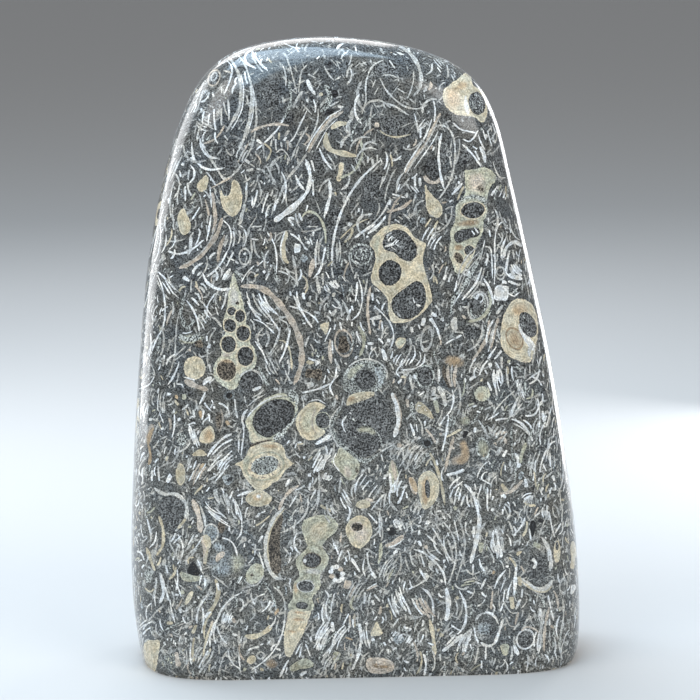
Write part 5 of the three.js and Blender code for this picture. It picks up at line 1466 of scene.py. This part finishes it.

# Each layer of shells covers the mud: thin walls have ragged edges and a dark seam just outside,
# whole bodies have even edges, a little nearer their tone's second shade, and soft patches fade out.
ragged = stretch(grain(0.45, 2, 3), 0.3, 0.7, 0.7, 1.3)
wavy = stretch(grain(1.3, 2, 7), 0.3, 0.7, 0.92, 1.08)
mottle = stretch(grain(1.3, 3, 90), 0.3, 0.7, -0.026, 0.022)
swirl = stretch(grain(2.5, 2, 130), 0.3, 0.7, -4.0, 4.0)
ramp_stops = []
for number, kind in enumerate(TONES):
    dark, light, share = PALETTE[kind]
    ramp_stops.append(((number + 0.06) / len(TONES), (*dark, share)))
    ramp_stops.append(((number + 0.94) / len(TONES), (*light, share)))
for n in range(LAYERS):
    store = node("ShaderNodeAttribute", attribute_name=f"shell_{n}")
    apart = node("ShaderNodeSeparateXYZ")
    feed(apart.inputs[0], store.outputs["Vector"])
    across, along, mark = apart.outputs
    out = sum_of("MULTIPLY_ADD", along, along, sum_of("MULTIPLY", across, across))
    is_body = sum_of("GREATER_THAN", mark, 1.0)
    is_soft = sum_of("GREATER_THAN", mark, 2.0)
    edge = sum_of("MULTIPLY_ADD", is_body, sum_of("SUBTRACT", wavy, ragged), ragged)
    fade = sum_of("MULTIPLY_ADD", is_soft, 0.84, sum_of("MULTIPLY_ADD", is_body, -0.19, 0.25))
    cover = sum_of("DIVIDE", sum_of("SUBTRACT", edge, out), fade)
    cover.node.use_clamp = True
    to_edge = sum_of("MULTIPLY_ADD", sum_of("SUBTRACT", is_body, is_soft), 0.028, 0.0)
    shade = sum_of("MULTIPLY_ADD", stretch(out, 0.55, 0.95), to_edge, mottle)
    turns = sum_of("MULTIPLY_ADD", is_body, 12.5, 7.5)
    leaves = sum_of("SINE", sum_of("MULTIPLY_ADD", across, turns, swirl))
    shade = sum_of("MULTIPLY_ADD", leaves, 0.014, shade)
    ramp = node("ShaderNodeValToRGB")
    stops = ramp.color_ramp.elements
    stops[0].position, stops[0].color = ramp_stops[0]
    stops[1].position, stops[1].color = ramp_stops[-1]
    for position, shell in ramp_stops[1:-1]:
        stops.new(position).color = shell
    feed(ramp.inputs[0], sum_of("ADD", sum_of("FRACT", mark), shade))
    seam = sum_of("MULTIPLY", stretch(out, 1.0, 1.7, 0.45, 0.0), sum_of("SUBTRACT", 1.0, is_body))
    colour = mixed(seam, colour, SEAM)
    colour = mixed(cover, colour, ramp.outputs["Color"])
    share = sum_of("SUBTRACT", ramp.outputs["Alpha"], grit_share)
    grit_share = sum_of("MULTIPLY_ADD", cover, share, grit_share)

grit = sum_of("MULTIPLY", stretch(grain(0.36, 1, 60), 0.34, 0.66, -0.45, 2.55),
              stretch(grain(3, 2, 50), 0.3, 0.7, 0.8, 1.2))
speckle = sum_of("MULTIPLY_ADD", grit_share, sum_of("SUBTRACT", grit, 1.0), 1.0)
speckle = sum_of("MAXIMUM", speckle, 0.08)
tint = mixed(stretch(grain(2.2, 2, 210), 0.38, 0.62), *GRIT_TINTS)
colour = mixed(sum_of("SUBTRACT", 1.0, grit_share), colour, mixed(1.0, colour, tint, "MULTIPLY"))
feed(shader.inputs["Base Color"], mixed(1.0, colour, speckle, "MULTIPLY"))
feed(shader.inputs["Roughness"], stretch(height.outputs[2], 0.02, 0.2, 0.5, 0.14))
shader.inputs["IOR"].default_value = 1.5
block.materials.append(look)

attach(stone, "root")
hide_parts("stone")


# ---- The floor, the light and the camera ----
# A plain pale table top, seven soft lamps round the stone and the camera in front of it.
FLOOR_REACH = 9
FLOOR_COLOUR = (0.47, 0.47, 0.465, 1)
STUDIO_COLOUR = (0.8, 0.82, 0.85, 1)
STUDIO_LIGHT = 0.45

mesh = bpy.data.meshes.new("floor")
far = FLOOR_REACH
mesh.from_pydata([(-far, -far, 0), (far, -far, 0), (far, far, 0), (-far, far, 0)], [], [(0, 1, 2, 3)])
floor = bpy.data.objects.new("floor", mesh)
bpy.context.scene.collection.objects.link(floor)
paint = bpy.data.materials.new("floor")
paint.use_nodes = True
coat = paint.node_tree.nodes["Principled BSDF"]
coat.inputs["Base Color"].default_value = FLOOR_COLOUR
coat.inputs["Roughness"].default_value = 0.7
mesh.materials.append(paint)

world = bpy.data.worlds.new("studio")
world.use_nodes = True
glow = world.node_tree.nodes["Background"]
glow.inputs["Color"].default_value = STUDIO_COLOUR
glow.inputs["Strength"].default_value = STUDIO_LIGHT
bpy.context.scene.world = world
bpy.context.scene.view_settings.view_transform = "Standard"


def lamp(name, place, aim, wide, high, power, colour):
    """A soft square lamp that looks at a point."""
    light = bpy.data.lights.new(name, "AREA")
    light.shape = "RECTANGLE"
    light.size = wide
    light.size_y = high
    light.energy = power
    light.color = colour
    holder = bpy.data.objects.new(name, light)
    holder.location = place
    holder.rotation_euler = (Vector(aim) - Vector(place)).to_track_quat("-Z", "Y").to_euler()
    bpy.context.scene.collection.objects.link(holder)


lamp("left_softbox", (-0.3, 0.22, 0.175), (0, 0, 0.11), 0.22, 0.35, 0.85, (0.98, 0.99, 1))
lamp("right_strip", (0.21, 0.26, 0.112), (0, 0, 0.1), 0.11, 0.22, 0.44, (0.97, 0.98, 1))
lamp("front_left", (-0.86, -0.55, 0.88), (0, 0, 0.08), 0.7, 0.7, 6.5, (1, 0.98, 0.945))
lamp("front_right", (0.75, -0.8, 0.8), (0, 0, 0.08), 0.7, 0.7, 7.3, (1, 0.98, 0.945))
lamp("top_softbox", (-0.12, 0.12, 0.78), (0, 0, 0.12), 0.34, 0.6, 5, (0.6, 0.8, 1))
lamp("top_glow", (-0.22, -0.36, 0.78), (-0.03, 0, 0.14), 0.28, 0.46, 1.8, (0.52, 0.77, 1))
lamp("rim_light", (-0.08, 0.56, 0.5), (0, 0, 0.14), 0.44, 0.34, 1.35, (1, 0.97, 0.96))

AZIMUTH = -4
ELEVATION = 10
DISTANCE = 0.644
AIM = Vector((-0.0014, 0, 0.0766))
LENS = 135
turn = math.radians(AZIMUTH)
rise = math.radians(ELEVATION)
back = Vector((math.sin(turn) * math.cos(rise), -math.cos(turn) * math.cos(rise), math.sin(rise)))
camera = bpy.data.objects.new("camera", bpy.data.cameras.new("camera"))
camera.data.lens = LENS
camera.location = AIM + back * DISTANCE
camera.rotation_euler = (-back).to_track_quat("-Z", "Y").to_euler()
bpy.context.scene.collection.objects.link(camera)
bpy.context.scene.camera = camera
